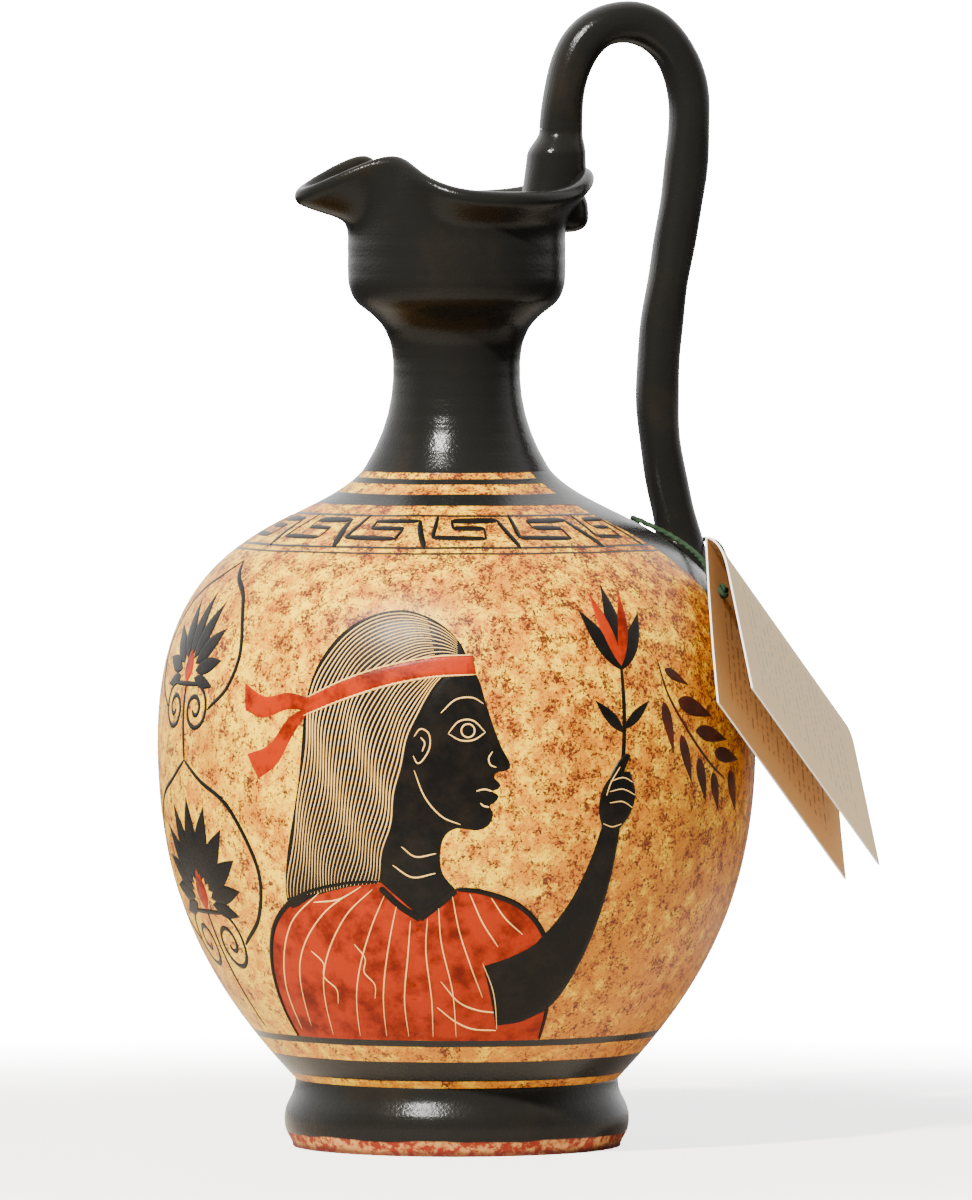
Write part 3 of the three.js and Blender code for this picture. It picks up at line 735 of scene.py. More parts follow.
def roll_shape(run):
    """Half thickness, half width and inward lean along the roll, with two faint waves of the pulling."""
    rising = np.clip((run - SADDLE_FULL) / (SADDLE_SHOULDER - SADDLE_FULL), 0, 1)
    pad = 1 - rising * rising * (3 - 2 * rising)
    end = root_share(run)
    grown = 1 + (ROOT_SPREAD - 1) * end**2 + ROOT_FILLET * end**8
    worked = 0.16 * np.sin(run / 7.3) + 0.12 * np.sin(run / 3.1 + 1)
    below = np.maximum(FLARE_START - run, 0)
    flare = FLARE_SLOPE * below**2 / (below + FLARE_EASE)
    tuck = TUCK_SLOPE * np.maximum(TUCK_START - run, 0)
    half = THICKNESS / 2 * grown + SADDLE_SWELL * pad + worked + (flare - tuck) / 2
    wide = WIDTH / 2 * grown + SADDLE_SPREAD * pad - worked
    return half, wide, SADDLE_INWARD * pad + (flare + tuck) / 2


roll_size = [float(2 * value) for value in roll_shape(np.array(HANDLE_LENGTH / 2))[:2]]
print("roll is", [round(value, 1) for value in roll_size], "mm thick and wide at half its length")

# %% The roll's skin
ROLL_SQUARENESS, ROOT_SLOPE = 2.35, 0.95


def powered(value, power):
    """Keeps the sign: sign(v) |v|^p."""
    return np.sign(value) * np.abs(value) ** power


def roll_grid(low, high, rows, sides=48):
    """A closed roll between two distances: |x/a|^n + |y/b|^n = 1 along the line, sloped at the root."""
    run = np.linspace(low, high, rows)
    line = evenly(handle_line, rows, low, min(high, HANDLE_LENGTH))
    along = directions(line)
    line = line + along * np.maximum(run - HANDLE_LENGTH, 0)[:, None] * (high > HANDLE_LENGTH)
    outward = np.stack([along[:, 1], -along[:, 0]], -1)
    half, wide, inward = (value[:, None] for value in roll_shape(run))
    angle = np.linspace(0, 2 * np.pi, sides, endpoint=False)
    across = powered(np.cos(angle), 2 / ROLL_SQUARENESS) * half - inward
    beside = powered(np.sin(angle), 2 / ROLL_SQUARENESS) * wide
    tilt = ROOT_SLOPE * root_share(run)[:, None] ** 2
    radius = line[:, :1] + outward[:, :1] * across
    height = line[:, 1:] + (outward[:, 1:] + tilt) * across
    grid = np.stack([radius, beside, height], -1)
    caps = grid.mean(1, keepdims=True) + 0 * grid
    return np.concatenate([caps[:1], grid, caps[-1:]])


# %% The lug's skin
LUG_REACH, LUG_WIDTH, LUG_DEPTH, LUG_DROP = 6.6, 5.5, 5.7, 8.2
LUG_SQUARENESS, LUG_FULLNESS = 0.72, 0.12


def lug_grid(rows=40, columns=48):
    """A blunt drop pressed under the rim: a squared ellipsoid that is fuller at its lower end."""
    v = np.linspace(0, np.pi, rows)[:, None]
    u = np.linspace(0, 2 * np.pi, columns, endpoint=False)
    across = np.abs(np.sin(v)) ** LUG_SQUARENESS * (1 - LUG_FULLNESS * np.cos(v))
    height = RIM_BACK[1] - LUG_DROP + LUG_DEPTH * powered(np.cos(v), LUG_SQUARENESS) + 0 * u
    return np.stack([CUP[0] + LUG_REACH * across * np.cos(u), LUG_WIDTH * across * np.sin(u), height], -1)


# %% Saddle, roll, root and lug
saddle = skin("thumbed_saddle", roll_grid(0, SADDLE_LENGTH, 60))
roll = skin("pulled_roll", roll_grid(SADDLE_LENGTH, HANDLE_LENGTH - ROOT_LENGTH, 220))
pad = skin("spread_root", roll_grid(HANDLE_LENGTH - ROOT_LENGTH, HANDLE_LENGTH + ROOT_SINK, 40))
lug = skin("pressed_lug", lug_grid())
dress(saddle, "jug", "black_slip", handle_slip, "handle_lip_saddle")
dress(roll, "jug", "black_slip", handle_slip, "handle")
dress(pad, "jug", "black_slip", handle_slip, "handle_root_pad")
dress(lug, "jug", "black_slip", wall_slip, "handle_lip_lug")

# %% [markdown]
# ## Brush strokes
# Slip painted on clay stands up a little from it. A filled shape is the ground between two edge lines, and a
# stroke is the ground between the two sides of its own line, so one function makes both: it spreads a thin
# closed slab between two lines, drawn flat in mm, and wraps it round the belly.

# %% Brush strokes
FRONT = 255.0
SINK = 0.06
SLIP_LIFT, RED_LIFT, LINE_LIFT = 0.1, 0.14, 0.22
OUTLINE_LIFT, LIMB_LIFT, FINGER_LIFT = 0.26, 0.32, 0.38


def on_belly(x, y, off):
    """Flat drawing to belly: x is distance round the widest ring from the front, y is height, in mm."""
    angle = np.radians(FRONT) + x / BELLY[0]
    radius, height = wall_at(y, off)
    return np.stack([radius * np.cos(angle), radius * np.sin(angle), height], -1)


def slab(first, second, lift, columns=9):
    """Closed slab between two lines (n, 2): its top is lift (1 - |2t - 1|^8), its base lies in the clay."""
    t = np.linspace(0, 1, columns)[None, :, None]
    ground = first[:, None] * (1 - t) + second[:, None] * t
    arch = lift * (1 - np.abs(2 * t[..., 0] - 1) ** 8) + 0 * ground[..., 0]
    top = on_belly(ground[..., 0], ground[..., 1], arch)
    under = on_belly(ground[..., 0], ground[..., 1], arch * 0 - SINK)
    loop = np.concatenate([top, under[:, ::-1]], 1)
    ends = loop[[0, -1]].mean(1, keepdims=True) + 0 * loop[[0, -1]]
    return np.concatenate([ends[:1], loop, ends[1:]])


def stroke(line, width, lift, taper=0.5):
    """A slab along a line (n, 2): its half width is w (4 s (1 - s))^(k/2), with blunt ends."""
    along = directions(line)
    side = np.stack([-along[:, 1], along[:, 0]], -1)
    s = np.linspace(0, 1, len(line))
    half = width / 2 * np.clip((4 * s * (1 - s)) ** (taper / 2), 0.25, 1)[:, None]
    return slab(line + side * half, line - side * half, lift, 5)


# %% Brushed slips
def brush_slip(name, colour, other, rough):
    """Slip laid on with a brush: two shades in streaks, with the clay's grain."""
    paint = Paint(name, GLOSS)
    place = paint.place()
    shade = paint.mix(paint.noise(place, 140, 4, 0.65).rising(0.4, 0.7), colour, other)
    varied = rough - 0.06 + 0.12 * paint.noise(place, 160, 3)
    relief = paint.bump(paint.noise(place, 1150, 2), 0.05)
    return paint.feed(base_color=shade, roughness=varied, normal=relief)


line_slip = brush_slip("brushed_black", (0.0045, 0.0042, 0.0036, 1), (0.010, 0.0075, 0.0055, 1), 0.34)
leaf_slip = brush_slip("brushed_dark_red", (0.030, 0.010, 0.007, 1), (0.075, 0.013, 0.008, 1), 0.4)
red_slip = brush_slip("brushed_red", (0.32, 0.020, 0.0003, 1), (0.10, 0.005, 0.0004, 1), 0.36)
cream_slip = brush_slip("scratched_cream", (0.84, 0.52, 0.16, 1), (0.72, 0.40, 0.10, 1), 0.5)
print("brushed slips:", [slip.name for slip in (line_slip, leaf_slip, red_slip, cream_slip)])

# %% [markdown]
# ## Key pattern
# A running key goes round the shoulder between two thin lines, one bent line to a unit, stopped by the black
# field. A painter makes each unit a little unlike the last, so its corners and widths get a small chance.

# %% Key pattern
KEY_EDGES = np.concatenate([[47.5], 65.8 + 26 * np.arange(10), [316.5]])
KEY_LOW, KEY_HIGH = 148.3, 155.4
KEY_PATH = ((0.03, 1.0), (0.0, 0.31), (0.60, 0.29), (0.63, 0.60), (0.23, 0.62), (0.21, 0.84),
            (0.80, 0.86), (0.95, 0.0))
KEY_WIDTHS = (2.0, 1.1, 1.25, 1.1, 1.1, 1.2, 2.2)
KEY_SWAY, KEY_PRESS, KEY_OVERRUN = 0.012, 0.15, 0.02
hand = np.random.default_rng(7)


def key_strokes():
    """One unit per space between key edges: a bent line of seven strokes, thick where the brush lands."""
    strokes = []
    for low, high in zip(KEY_EDGES[:-1], KEY_EDGES[1:]):
        sway = hand.normal(0, KEY_SWAY, (len(KEY_PATH), 2))
        sway[-1] = 0
        bends = np.array(KEY_PATH) + sway
        x = np.radians(low + (high - low) * bends[:, 0] - FRONT) * BELLY[0]
        corners = np.stack([x, KEY_LOW + (KEY_HIGH - KEY_LOW) * bends[:, 1]], -1)
        for start, end, width in zip(corners[:-1], corners[1:], KEY_WIDTHS):
            line = start + (end - start) * np.linspace(-KEY_OVERRUN, 1 + KEY_OVERRUN, 14)[:, None]
            pressed = width * hand.uniform(1 - KEY_PRESS, 1 + KEY_PRESS)
            strokes.append(stroke(line, pressed, SLIP_LIFT, 0.3))
    return strokes


key_pattern = skins("painted_key_pattern", key_strokes())
dress(key_pattern, "jug", "black_slip", line_slip)

# %% [markdown]
# ## Sprig
# A laurel sprig hangs at the handle's side: one thin stem with a row of dark red leaves on either hand. Each
# leaf is one dab of a loaded brush, fat near the stem and pointed at its tip, so it is the ground between
# two bowed lines.

# %% Sprig
STEM = ((55.2, 121.6), (57.6, 112.6), (64.6, 103), (73.0, 95.6), (80.4, 91.6))
STEM_WIDTH = 0.8
SPRIG_LEAVES = (
    (57.3, 118.9, 65.4, 114.8, 0.14), (60.7, 111.2, 74.2, 107.0, 0.155), (67.0, 103.9, 81.4, 101.0, 0.13),
    (74.8, 98.3, 88.4, 95.8, 0.135), (55.6, 111.2, 58.6, 98.3, 0.12), (61.2, 103.0, 65.4, 91.2, 0.13),
    (67.8, 97.2, 71.9, 86.2, 0.15), (74.2, 93.4, 78.2, 83.8, 0.17), (83.0, 93.4, 88.8, 83.2, 0.19))
DAB_SWELL, LEAF_SWELL = 0.64, 0.8


def leaf(foot_x, foot_y, tip_x, tip_y, fat, lift=SLIP_LIFT, swell=LEAF_SWELL):
    """Two bowed sides of a leaf: foot + s (tip - foot) +- fat |tip - foot| sin(pi s^swell) across."""
    foot, tip = np.array([foot_x, foot_y]), np.array([tip_x, tip_y])
    s = np.linspace(0, 1, 18)[:, None]
    across = np.array([foot[1] - tip[1], tip[0] - foot[0]])
    middle = foot + (tip - foot) * s
    bow = fat * across * np.sin(np.pi * s**swell)
    return slab(middle + bow, middle - bow, lift)


sprig_shapes = [leaf(*ends, swell=DAB_SWELL) for ends in SPRIG_LEAVES]
sprig_shapes += [stroke(flowing(STEM, 40), STEM_WIDTH, SLIP_LIFT)]
sprig = skins("painted_sprig", sprig_shapes)
dress(sprig, "jug", "painted_clay", leaf_slip)

# %% [markdown]
# ## Painted bust: head and chest
# The front carries a bust in the old black-figure way: a flat black shape for skin and hair, red for the
# cloth, and fine cream lines that a potter would scratch through the slip. Shapes are filled between two
# edge lines each, in layers of slip that lie a few hundredths of a millimetre over each other. The drawing
# has its own corner, on the ground band a little left of the front.

# %% Painted bust: outlines
FIGURE_X, FIGURE_Y = -9.5, 29.0
FACE = ((12.5, 93), (15.2, 88), (16.8, 82.5), (18.4, 77.5), (20.4, 72.2), (22.5, 68.2), (21.9, 66.5),
        (19.3, 65.9), (18.8, 64.6), (20.2, 63.1), (19.7, 62.0), (18.3, 61.4), (19.8, 60.4), (19.2, 59.0),
        (17.7, 57.9), (18.5, 55.8), (17.4, 53.2), (14.4, 52.0), (10.2, 52.6), (6.9, 50.8), (5.6, 46.5),
        (6.2, 41.5), (9.5, 37.5))
NAPE = ((12.5, 93), (6.5, 88.5), (2.5, 82.5), (0.2, 77), (-1.8, 71), (-3.2, 65), (-4.6, 58), (-6.2, 51),
        (-8, 44), (-10, 38))
CROWN = ((12.5, 93), (10.2, 97.4), (4.5, 102), (-4, 104.6), (-13, 103.4), (-21, 98.8), (-26.4, 91),
         (-28.8, 82), (-29.4, 73), (-30.4, 64), (-32.4, 55), (-35, 46), (-37, 38), (-37.5, 32))
CHEST_RIGHT = ((9.5, 37.5), (5, 34), (0, 30.5))
CHEST_LEFT = ((-10, 38), (-5, 33.5), (0, 30.5))
FEATURES = (
    ((7.6, 75.3), (10.2, 78.2), (13.6, 78.4), (16.6, 75.6)),
    ((7.6, 75.3), (10.6, 73.7), (13.8, 73.8), (16.6, 75.6)),
    ((5.8, 80.2), (9.4, 83.4), (13.4, 83.9), (16.2, 82.4)),
    ((19.2, 67.2), (17.8, 67.8), (17.4, 69.4), (18.3, 71)),
    ((18.3, 61.4), (16.4, 61.9), (14.4, 61.5)), ((17.5, 57.6), (16.2, 57.9), (15.4, 58.6)),
    ((-0.6, 66.5), (2, 60), (6, 55.4), (10.6, 53.4)), ((-4, 48), (-0.5, 45.6), (4.6, 46.4)),
    ((-6.4, 43.5), (-1.5, 40.6), (4.4, 41.6)), ((1, 74.4), (2, 73), (1.4, 71)),
    ((-0.6, 74.6), (1, 76.4), (3, 75.2), (3.2, 72), (1.6, 69), (0.2, 68.2), (-0.8, 70)))
EYE, EYE_RADIUS = (12.4, 76.0), 1.6
print("bust stands", CROWN[3][1], "mm high on its band, with", len(FEATURES), "scratched features")

# %% Painted bust: fills and strands
STRAND_STEPS, STRAND_START, STRAND_END = 80, 4, -2


def drawn(points, steps=40):
    """A smooth line through points of the drawing, moved to its place on the belly."""
    return flowing(points, steps) + (FIGURE_X, FIGURE_Y)


def filled(first, second, lift, steps=90):
    """The ground between two lines of the drawing."""
    return slab(drawn(first, steps), drawn(second, steps), lift, 15)


def circle(centre, radius):
    """A line that closes on itself: centre + r (cos a, sin a)."""
    turn = np.linspace(0, 2 * np.pi, 40)
    return np.array(centre) + (FIGURE_X, FIGURE_Y) + radius * np.stack([np.cos(turn), np.sin(turn)], -1)


def strand(share):
    """A combed line between nape and crown, with a wave that grows on the way down: 0.5 s sin(27 s + p)."""
    line = drawn(NAPE, STRAND_STEPS) * (1 - share) + drawn(CROWN, STRAND_STEPS) * share
    along = directions(line)
    side = np.stack([-along[:, 1], along[:, 0]], -1)
    s = np.linspace(0, 1, STRAND_STEPS)[:, None]
    return (line + 0.5 * s * np.sin(27 * s + 10.5 * share) * side)[STRAND_START:STRAND_END]


# %% Painted bust: head and chest
STRANDS, STRAND_STAGGER, STRAND_WIDTH = 28, 7, 0.52
SCRATCH_WIDTH = 0.5

skin_shapes = [filled(CROWN, NAPE, SLIP_LIFT), filled(FACE, NAPE, SLIP_LIFT, 160)]
skin_shapes += [filled(CHEST_RIGHT, CHEST_LEFT, SLIP_LIFT)]
head_lines = [stroke(drawn(points), SCRATCH_WIDTH, LINE_LIFT) for points in FEATURES]
head_lines += [stroke(circle(EYE, EYE_RADIUS), SCRATCH_WIDTH, LINE_LIFT, 0)]
strand_lines = [strand(share) for share in np.linspace(0.05, 0.96, STRANDS)]
strand_lines[1::2] = [line[STRAND_STAGGER:] for line in strand_lines[1::2]]
head_lines += [stroke(line, STRAND_WIDTH, LINE_LIFT, 0.7) for line in strand_lines]
bust = skins("painted_bust", skin_shapes)
hair = skins("scratched_head_lines", head_lines)
dress(bust, "jug", "black_slip", line_slip)
dress(hair, "jug", "painted_clay", cream_slip)

# %% [markdown]
# ## Painted bust: cloth
# The cloth and the band round the hair are red slip over the black, with black hems and scratched folds.
# Folds drawn as lines, and not as relief, are what such painters do.

# %% Painted bust: cloth
DRAPE_LEFT = ((-10, 39.5), (-20, 38.8), (-33, 35.5), (-43, 28.5), (-49.5, 18), (-53, 7.5), (-54, 0))
DRAPE_MIDDLE = ((0, 31), (-1.5, 24), (-3, 14), (-4, 6), (-4, 0))
DRAPE_RIGHT = ((9.5, 37.8), (17, 36.8), (26, 33.5), (33, 27), (37, 17.5), (39, 7.5), (39.5, 0))
FOLDS = (
    ((-12, 37.6), (-21, 30), (-31, 16), (-36, 1)), ((-15, 38.2), (-27, 31), (-38, 19), (-44, 3)),
    ((-9, 36), (-14, 27), (-21, 13), (-25, 1)), ((-6, 33.5), (-9, 24), (-13, 11), (-15, 1)),
    ((-2.5, 30), (-4, 21), (-6.5, 10), (-7, 1)), ((2, 30.5), (1.2, 22), (2, 10), (1.5, 1)),
    ((5, 33.2), (5.6, 24), (8.5, 12), (9.5, 1)), ((8.5, 36.4), (10.5, 27), (14, 18), (17.5, 11)),
    ((13, 36.6), (16.5, 29.5), (21, 23.5)), ((18.5, 35.6), (22.5, 30.5), (27.5, 26.5)),
    ((-27, 36.4), (-38, 28), (-46.5, 14), (-49.5, 2)), ((-17, 37), (-22, 34.8), (-29, 34)),
    ((5, 15), (10, 10), (16, 7.8), (23, 7)), ((3.5, 8.5), (9, 5), (15, 3), (23, 2.6)),
    ((-19, 24), (-16.5, 20.5), (-17.5, 17), (-15, 14), (-15.8, 10.5)),
    ((-33, 22), (-30, 19), (-31, 15.5), (-28, 12.5), (-29, 9)))
FILLET = (((13.6, 94), (4, 93.6), (-7, 91.6), (-18, 88.2), (-28.4, 83.6)),
          ((14.4, 89.4), (4, 88.8), (-7, 86.8), (-18, 83.4), (-29, 79.2)))
TAILS = (
    (((-27.5, 83.4), (-34, 84.6), (-41, 83.5), (-48, 86.5)),
     ((-28.2, 80.4), (-34, 80.5), (-41, 78.4), (-47, 80))),
    (((-28, 81.6), (-33.5, 78.4), (-39, 72), (-46, 69.5)),
     ((-28.6, 79), (-32, 74.5), (-36.5, 67.5), (-42.5, 63.6))))
HEM_WIDTH, COLLAR_WIDTH, FOLD_WIDTH, FILLET_EDGE = 1.4, 2.4, 0.55, 0.6

red_shapes = [filled(DRAPE_LEFT, DRAPE_MIDDLE, RED_LIFT), filled(DRAPE_MIDDLE, DRAPE_RIGHT, RED_LIFT)]
red_shapes += [filled(*sides, RED_LIFT, 40) for sides in TAILS] + [filled(*FILLET, LIMB_LIFT, 60)]
hems = [stroke(drawn(line, 70), HEM_WIDTH, OUTLINE_LIFT, 0.2) for line in (DRAPE_LEFT, DRAPE_RIGHT)]
hems += [stroke(drawn(line), COLLAR_WIDTH, OUTLINE_LIFT, 0.1) for line in (CHEST_LEFT, CHEST_RIGHT)]
fold_lines = [stroke(drawn(line), FOLD_WIDTH, LINE_LIFT) for line in FOLDS]
fold_lines += [stroke(drawn(line, 60), FILLET_EDGE, FINGER_LIFT) for line in FILLET]
cloth = skins("painted_cloth", red_shapes)
outlines = skins("painted_hems", hems)
folds = skins("scratched_folds", fold_lines)
dress(cloth, "jug", "painted_clay", red_slip)
dress(outlines, "jug", "black_slip", line_slip)
dress(folds, "jug", "painted_clay", cream_slip)

# %% [markdown]
# ## Painted bust: hand and flower
# The arm comes forward over the cloth and its fist holds a flower on a long stem. The limbs lie one layer
# higher than the cloth, and the lines between the fingers one layer higher again.

# %% Painted bust: hand and flower
ARM = (((17, 19.5), (25, 22), (33, 26), (39.5, 34), (44, 44), (46.8, 53)),
       ((23, 3), (33, 4.5), (41.5, 10), (47, 22), (50.4, 38), (52, 53)))
FIST = (((46.8, 52), (45.6, 56.5), (46.4, 61.5), (49.3, 65.4)),
        ((52, 52), (54.8, 55.6), (55.9, 60.4), (54.2, 65.6)))
THUMB = (((46.6, 58.5), (47.6, 62.5), (50.2, 67.5), (52.8, 70)),
         ((50.4, 58), (51, 62), (52.6, 66), (54.2, 69.4)))
FINGERS = (((48.4, 63.4), (52, 64.2), (54.9, 63)), ((48.2, 60.9), (52, 61.4), (55.7, 59.9)),
           ((48.4, 58.2), (52, 58.4), (55, 56.9)), ((46.9, 53.2), (49.4, 52.4), (52, 53)),
           ((47.4, 60), (48.6, 63.2), (51, 66.8)), ((17, 19.5), (20.8, 12), (23.2, 3)))
FLOWER_STEM = ((48.2, 32), (49.4, 43), (51.2, 59), (52.4, 74), (53, 91))
BLACK_PETALS = ((53, 90, 53.2, 110.5), (53, 90, 43.4, 104.6), (53, 90, 62.4, 103.6), (52.4, 75, 44.6, 83),
                (52.6, 76, 60.4, 82.5))
RED_PETALS = ((53, 91, 48, 109), (53, 91, 58.2, 108.4))
BLACK_FAT, RED_FAT = 0.13, 0.1
FLOWER_STEM_WIDTH, FINGER_WIDTH = 1.2, 0.45


def petal(foot_x, foot_y, tip_x, tip_y, fat, lift):
    """A leaf of the drawing, moved to its place on the belly."""
    return leaf(foot_x + FIGURE_X, foot_y + FIGURE_Y, tip_x + FIGURE_X, tip_y + FIGURE_Y, fat, lift)


limbs = [filled(*sides, LIMB_LIFT) for sides in (ARM, FIST, THUMB)]
limbs += [stroke(drawn(FLOWER_STEM, 70), FLOWER_STEM_WIDTH, SLIP_LIFT, 0.2)]
limbs += [petal(*ends, BLACK_FAT, SLIP_LIFT) for ends in BLACK_PETALS]
hand_and_stem = skins("painted_hand_and_flower", limbs)
red_petals = skins("painted_red_petals", [petal(*ends, RED_FAT, RED_LIFT) for ends in RED_PETALS])
fingers = skins("scratched_fingers", [stroke(drawn(line), FINGER_WIDTH, FINGER_LIFT) for line in FINGERS])
dress(hand_and_stem, "jug", "black_slip", line_slip)
dress(red_petals, "jug", "painted_clay", red_slip)
dress(fingers, "jug", "painted_clay", cream_slip)

# %% [markdown]
# ## Palmettes
# Behind the bust climbs the commonest ornament of such pots: fans of petals over pairs of volutes, each in a
# loop whose tip carries the next. A fan is a row of leaves turned about one point, longest in the middle,
# and everything in it is measured in the fan's own reach.

# %% Fan, volutes and loop
FAN, PETAL_FOOT = 205, 0.2
HEART_FOOT, BAR_DROP, BAR_REACH = 0.1, 0.12, 0.32
VOLUTE_TURNS, VOLUTE_SIZE, VOLUTE_SHRINK, VOLUTE_DROP = 1.7, 0.3, 0.86, 0.42
LOOP = ((0.6, -0.42), (0.98, -0.12), (1.1, 0.35), (0.78, 0.92), (0.3, 1.18), (0.0, 1.36))


def fan(x, y, reach, petals):
    """Leaves out of a small half circle, R (0.62 + 0.38 cos(a / 1.25)) long at a from the middle."""
    turn = np.radians(np.linspace(-FAN / 2, FAN / 2, petals))
    way = np.stack([np.sin(turn), np.cos(turn)], -1)
    tip = (x, y) + way * (reach * (0.62 + 0.38 * np.cos(turn / 1.25)))[:, None]
    foot = (x, y) + way * reach * PETAL_FOOT
    return np.concatenate([foot, tip], 1)


def volute(x, y, reach, side):
    """A spiral r = R (1 - k t) that starts under the fan and turns outward and down."""
    t = np.linspace(0, 1, 70)
    radius = VOLUTE_SIZE * reach * (1 - VOLUTE_SHRINK * t)
    turn = np.pi / 2 - side * 2 * np.pi * VOLUTE_TURNS * t
    centre = (x + FIGURE_X + side * VOLUTE_SIZE * reach, y + FIGURE_Y - VOLUTE_DROP * reach)
    return np.array(centre) + np.stack([radius * np.cos(turn), radius * np.sin(turn)], -1)


def tendrils(x, y, reach, stem_foot):
    """The loop's two sides, two volutes, the stem up to the fan and a bar under it."""
    sides = [[(x + side * across * reach, y + up * reach) for across, up in LOOP] for side in (-1, 1)]
    stem = (stem_foot, (x, y - VOLUTE_DROP * reach), (x, y - HEART_FOOT * reach))
    bar = [(x + across * reach, y - BAR_DROP * reach) for across in (-BAR_REACH, 0, BAR_REACH)]
    volutes = [volute(x, y, reach, side) for side in (-1, 1)]
    return [drawn(line, 70) for line in sides] + volutes + [drawn(stem), drawn(bar)]


# %% Palmettes
PALMETTES = ((-73, 33, 25, 11), (-74, 88, 20, 9))
STEM_FOOT = (-72.8, 1.5)
PETAL_FAT, TENDRIL_WIDTH = 0.17, 1.3
HEART_TIP, HEART_FAT = 0.3, 0.3

ornament = []
hearts = []
stem_foot = STEM_FOOT
for x, y, reach, petals in PALMETTES:
    ornament += [petal(*ends, PETAL_FAT, SLIP_LIFT) for ends in fan(x, y, reach, petals)]
    ornament += [stroke(line, TENDRIL_WIDTH, SLIP_LIFT, 0.3) for line in tendrils(x, y, reach, stem_foot)]
    hearts += [petal(x, y - HEART_FOOT * reach, x, y + HEART_TIP * reach, HEART_FAT, RED_LIFT)]
    stem_foot = (x, y + LOOP[-1][1] * reach)
palmettes = skins("painted_palmettes", ornament)
palmette_hearts = skins("painted_palmette_hearts", hearts)
dress(palmettes, "jug", "black_slip", line_slip)
dress(palmette_hearts, "jug", "painted_clay", red_slip)

# %% [markdown]
# ## Cord and knot
# The card hangs on a thin twisted cord, looped round the root of the handle. Three plies laid round each
# other give a tube whose section has three lobes and turns along the line. The knot inside the fold is the
# same cord drawn up in a trefoil.

# %% The cord's route
CORD_ROUTE = (
    (53.7, -38.5, 136), (54.8, -33, 139.8), (55.2, -27.5, 143.2), (54.6, -18, 146.3), (51.5, -9.6, 149.6),
    (47.2, -5, 152.2), (44.9, 0, 153.6), (47.2, 5, 152.2), (51.3, 9.6, 149.3), (58.5, 10.3, 147),
    (63.6, 5.5, 148), (65.1, -4, 147.4), (64.5, -13.5, 144.2), (62.6, -19, 142.4), (60.2, -24.5, 140.4),
    (55.9, -34.4, 135.7))
joints = {joint["name"]: joint for joint in frame["joints"]}
off_belly = np.array(joints["tag_swing"]["axis"])
along_fold = -np.array(joints["tag_fold"]["axis"])
up_leaf = np.cross(off_belly, along_fold)
hung_corner = np.array(joints["tag_fold"]["pos_m"]) / MM


def on_tag(x, y, z):
    """Points from the hung corner: x off the belly, y along the fold and z up the leaf."""
    x, y, z = np.broadcast_arrays(x, y, z)
    return hung_corner + x[..., None] * off_belly + y[..., None] * along_fold + z[..., None] * up_leaf


cord_line = flowing(CORD_ROUTE, 420)
print(f"cord {lengths(cord_line)[-1]:.1f} mm long, and the card hangs from", hung_corner.round(1).tolist())

# %% Twisted tube
PLIES, PLY_DEPTH, PLY_PITCH = 3, 0.13, 3.0


def twisted_tube(line, diameter, sides=24):
    """Tube along a line (n, 3): r = R (1 - k + k cos(m (a - 2 pi s / p))), closed at both ends."""
    along = directions(line)
    side = np.cross(along, off_belly)
    side /= np.linalg.norm(side, axis=1)[:, None]
    over = np.cross(side, along)
    angle = np.linspace(0, 2 * np.pi, sides, endpoint=False)
    turn = 2 * np.pi * lengths(line)[:, None] / (PLIES * PLY_PITCH)
    radius = diameter / 2 * (1 - PLY_DEPTH + PLY_DEPTH * np.cos(PLIES * (angle - turn)))
    across, up = (radius * np.cos(angle))[..., None], (radius * np.sin(angle))[..., None]
    middle = line[:, None]
    tube = middle + (side[:, None] * across + over[:, None] * up)
    caps = middle + 0 * tube
    return np.concatenate([caps[:1], tube, caps[-1:]])


# %% The cord's finish
CORD_DARK, CORD_PALE = (0.006, 0.016, 0.006, 1), (0.026, 0.052, 0.022, 1)


def cord_finish():
    """Matt dark green, with paler fibres along the twist."""
    paint = Paint("green_cord", 0.2)
    fibres = paint.noise(paint.stretched(paint.place("UV"), 30, 60, 1), 1, 3, 0.7)
    colour = paint.mix(fibres.rising(0.35, 0.7), CORD_DARK, CORD_PALE)
    return paint.feed(base_color=colour, roughness=0.75 + 0.2 * fibres, normal=paint.bump(fibres, 0.08))


green = cord_finish()
print("cord finish:", green.name)

# %% Cord and knot
CORD_DIAMETER, KNOT_DIAMETER = 1.4, 1.2
HOLE = (7, -12)
KNOT_OFF, KNOT_REACH, KNOT_HEIGHT = 1.0, 1.5, 0.5


def trefoil(off, y, z, steps=120):
    """((2 + cos 3t) cos 2t, (2 + cos 3t) sin 2t, sin 3t), scaled, in the plane of the leaf."""
    t = np.linspace(0, 2 * np.pi, steps)
    out = KNOT_REACH / 3 * (2 + np.cos(3 * t))
    return on_tag(off + KNOT_HEIGHT * np.sin(3 * t), y + out * np.cos(2 * t), z + out * np.sin(2 * t))


cord = skin("twisted_cord", twisted_tube(cord_line, CORD_DIAMETER))
knot_loop = twisted_tube(trefoil(KNOT_OFF, *HOLE), KNOT_DIAMETER)
knot_stem = twisted_tube(on_tag(np.linspace(-0.5, KNOT_OFF, 12), *HOLE), CORD_DIAMETER)
knot = skins("drawn_knot", [knot_loop, knot_stem])
dress(cord, "jug", "green_cord", green, "tag_cord")
dress(knot, "tag_knot", "green_cord", green, "tag_knot")

# %% [markdown]
# ## The card's finish
# The card is tan inside and cream outside, with a white core at its cut edges and faint broken rules. Rows
# and columns of the sheet's own grid tell front, back and edge apart, so no second mesh is needed.

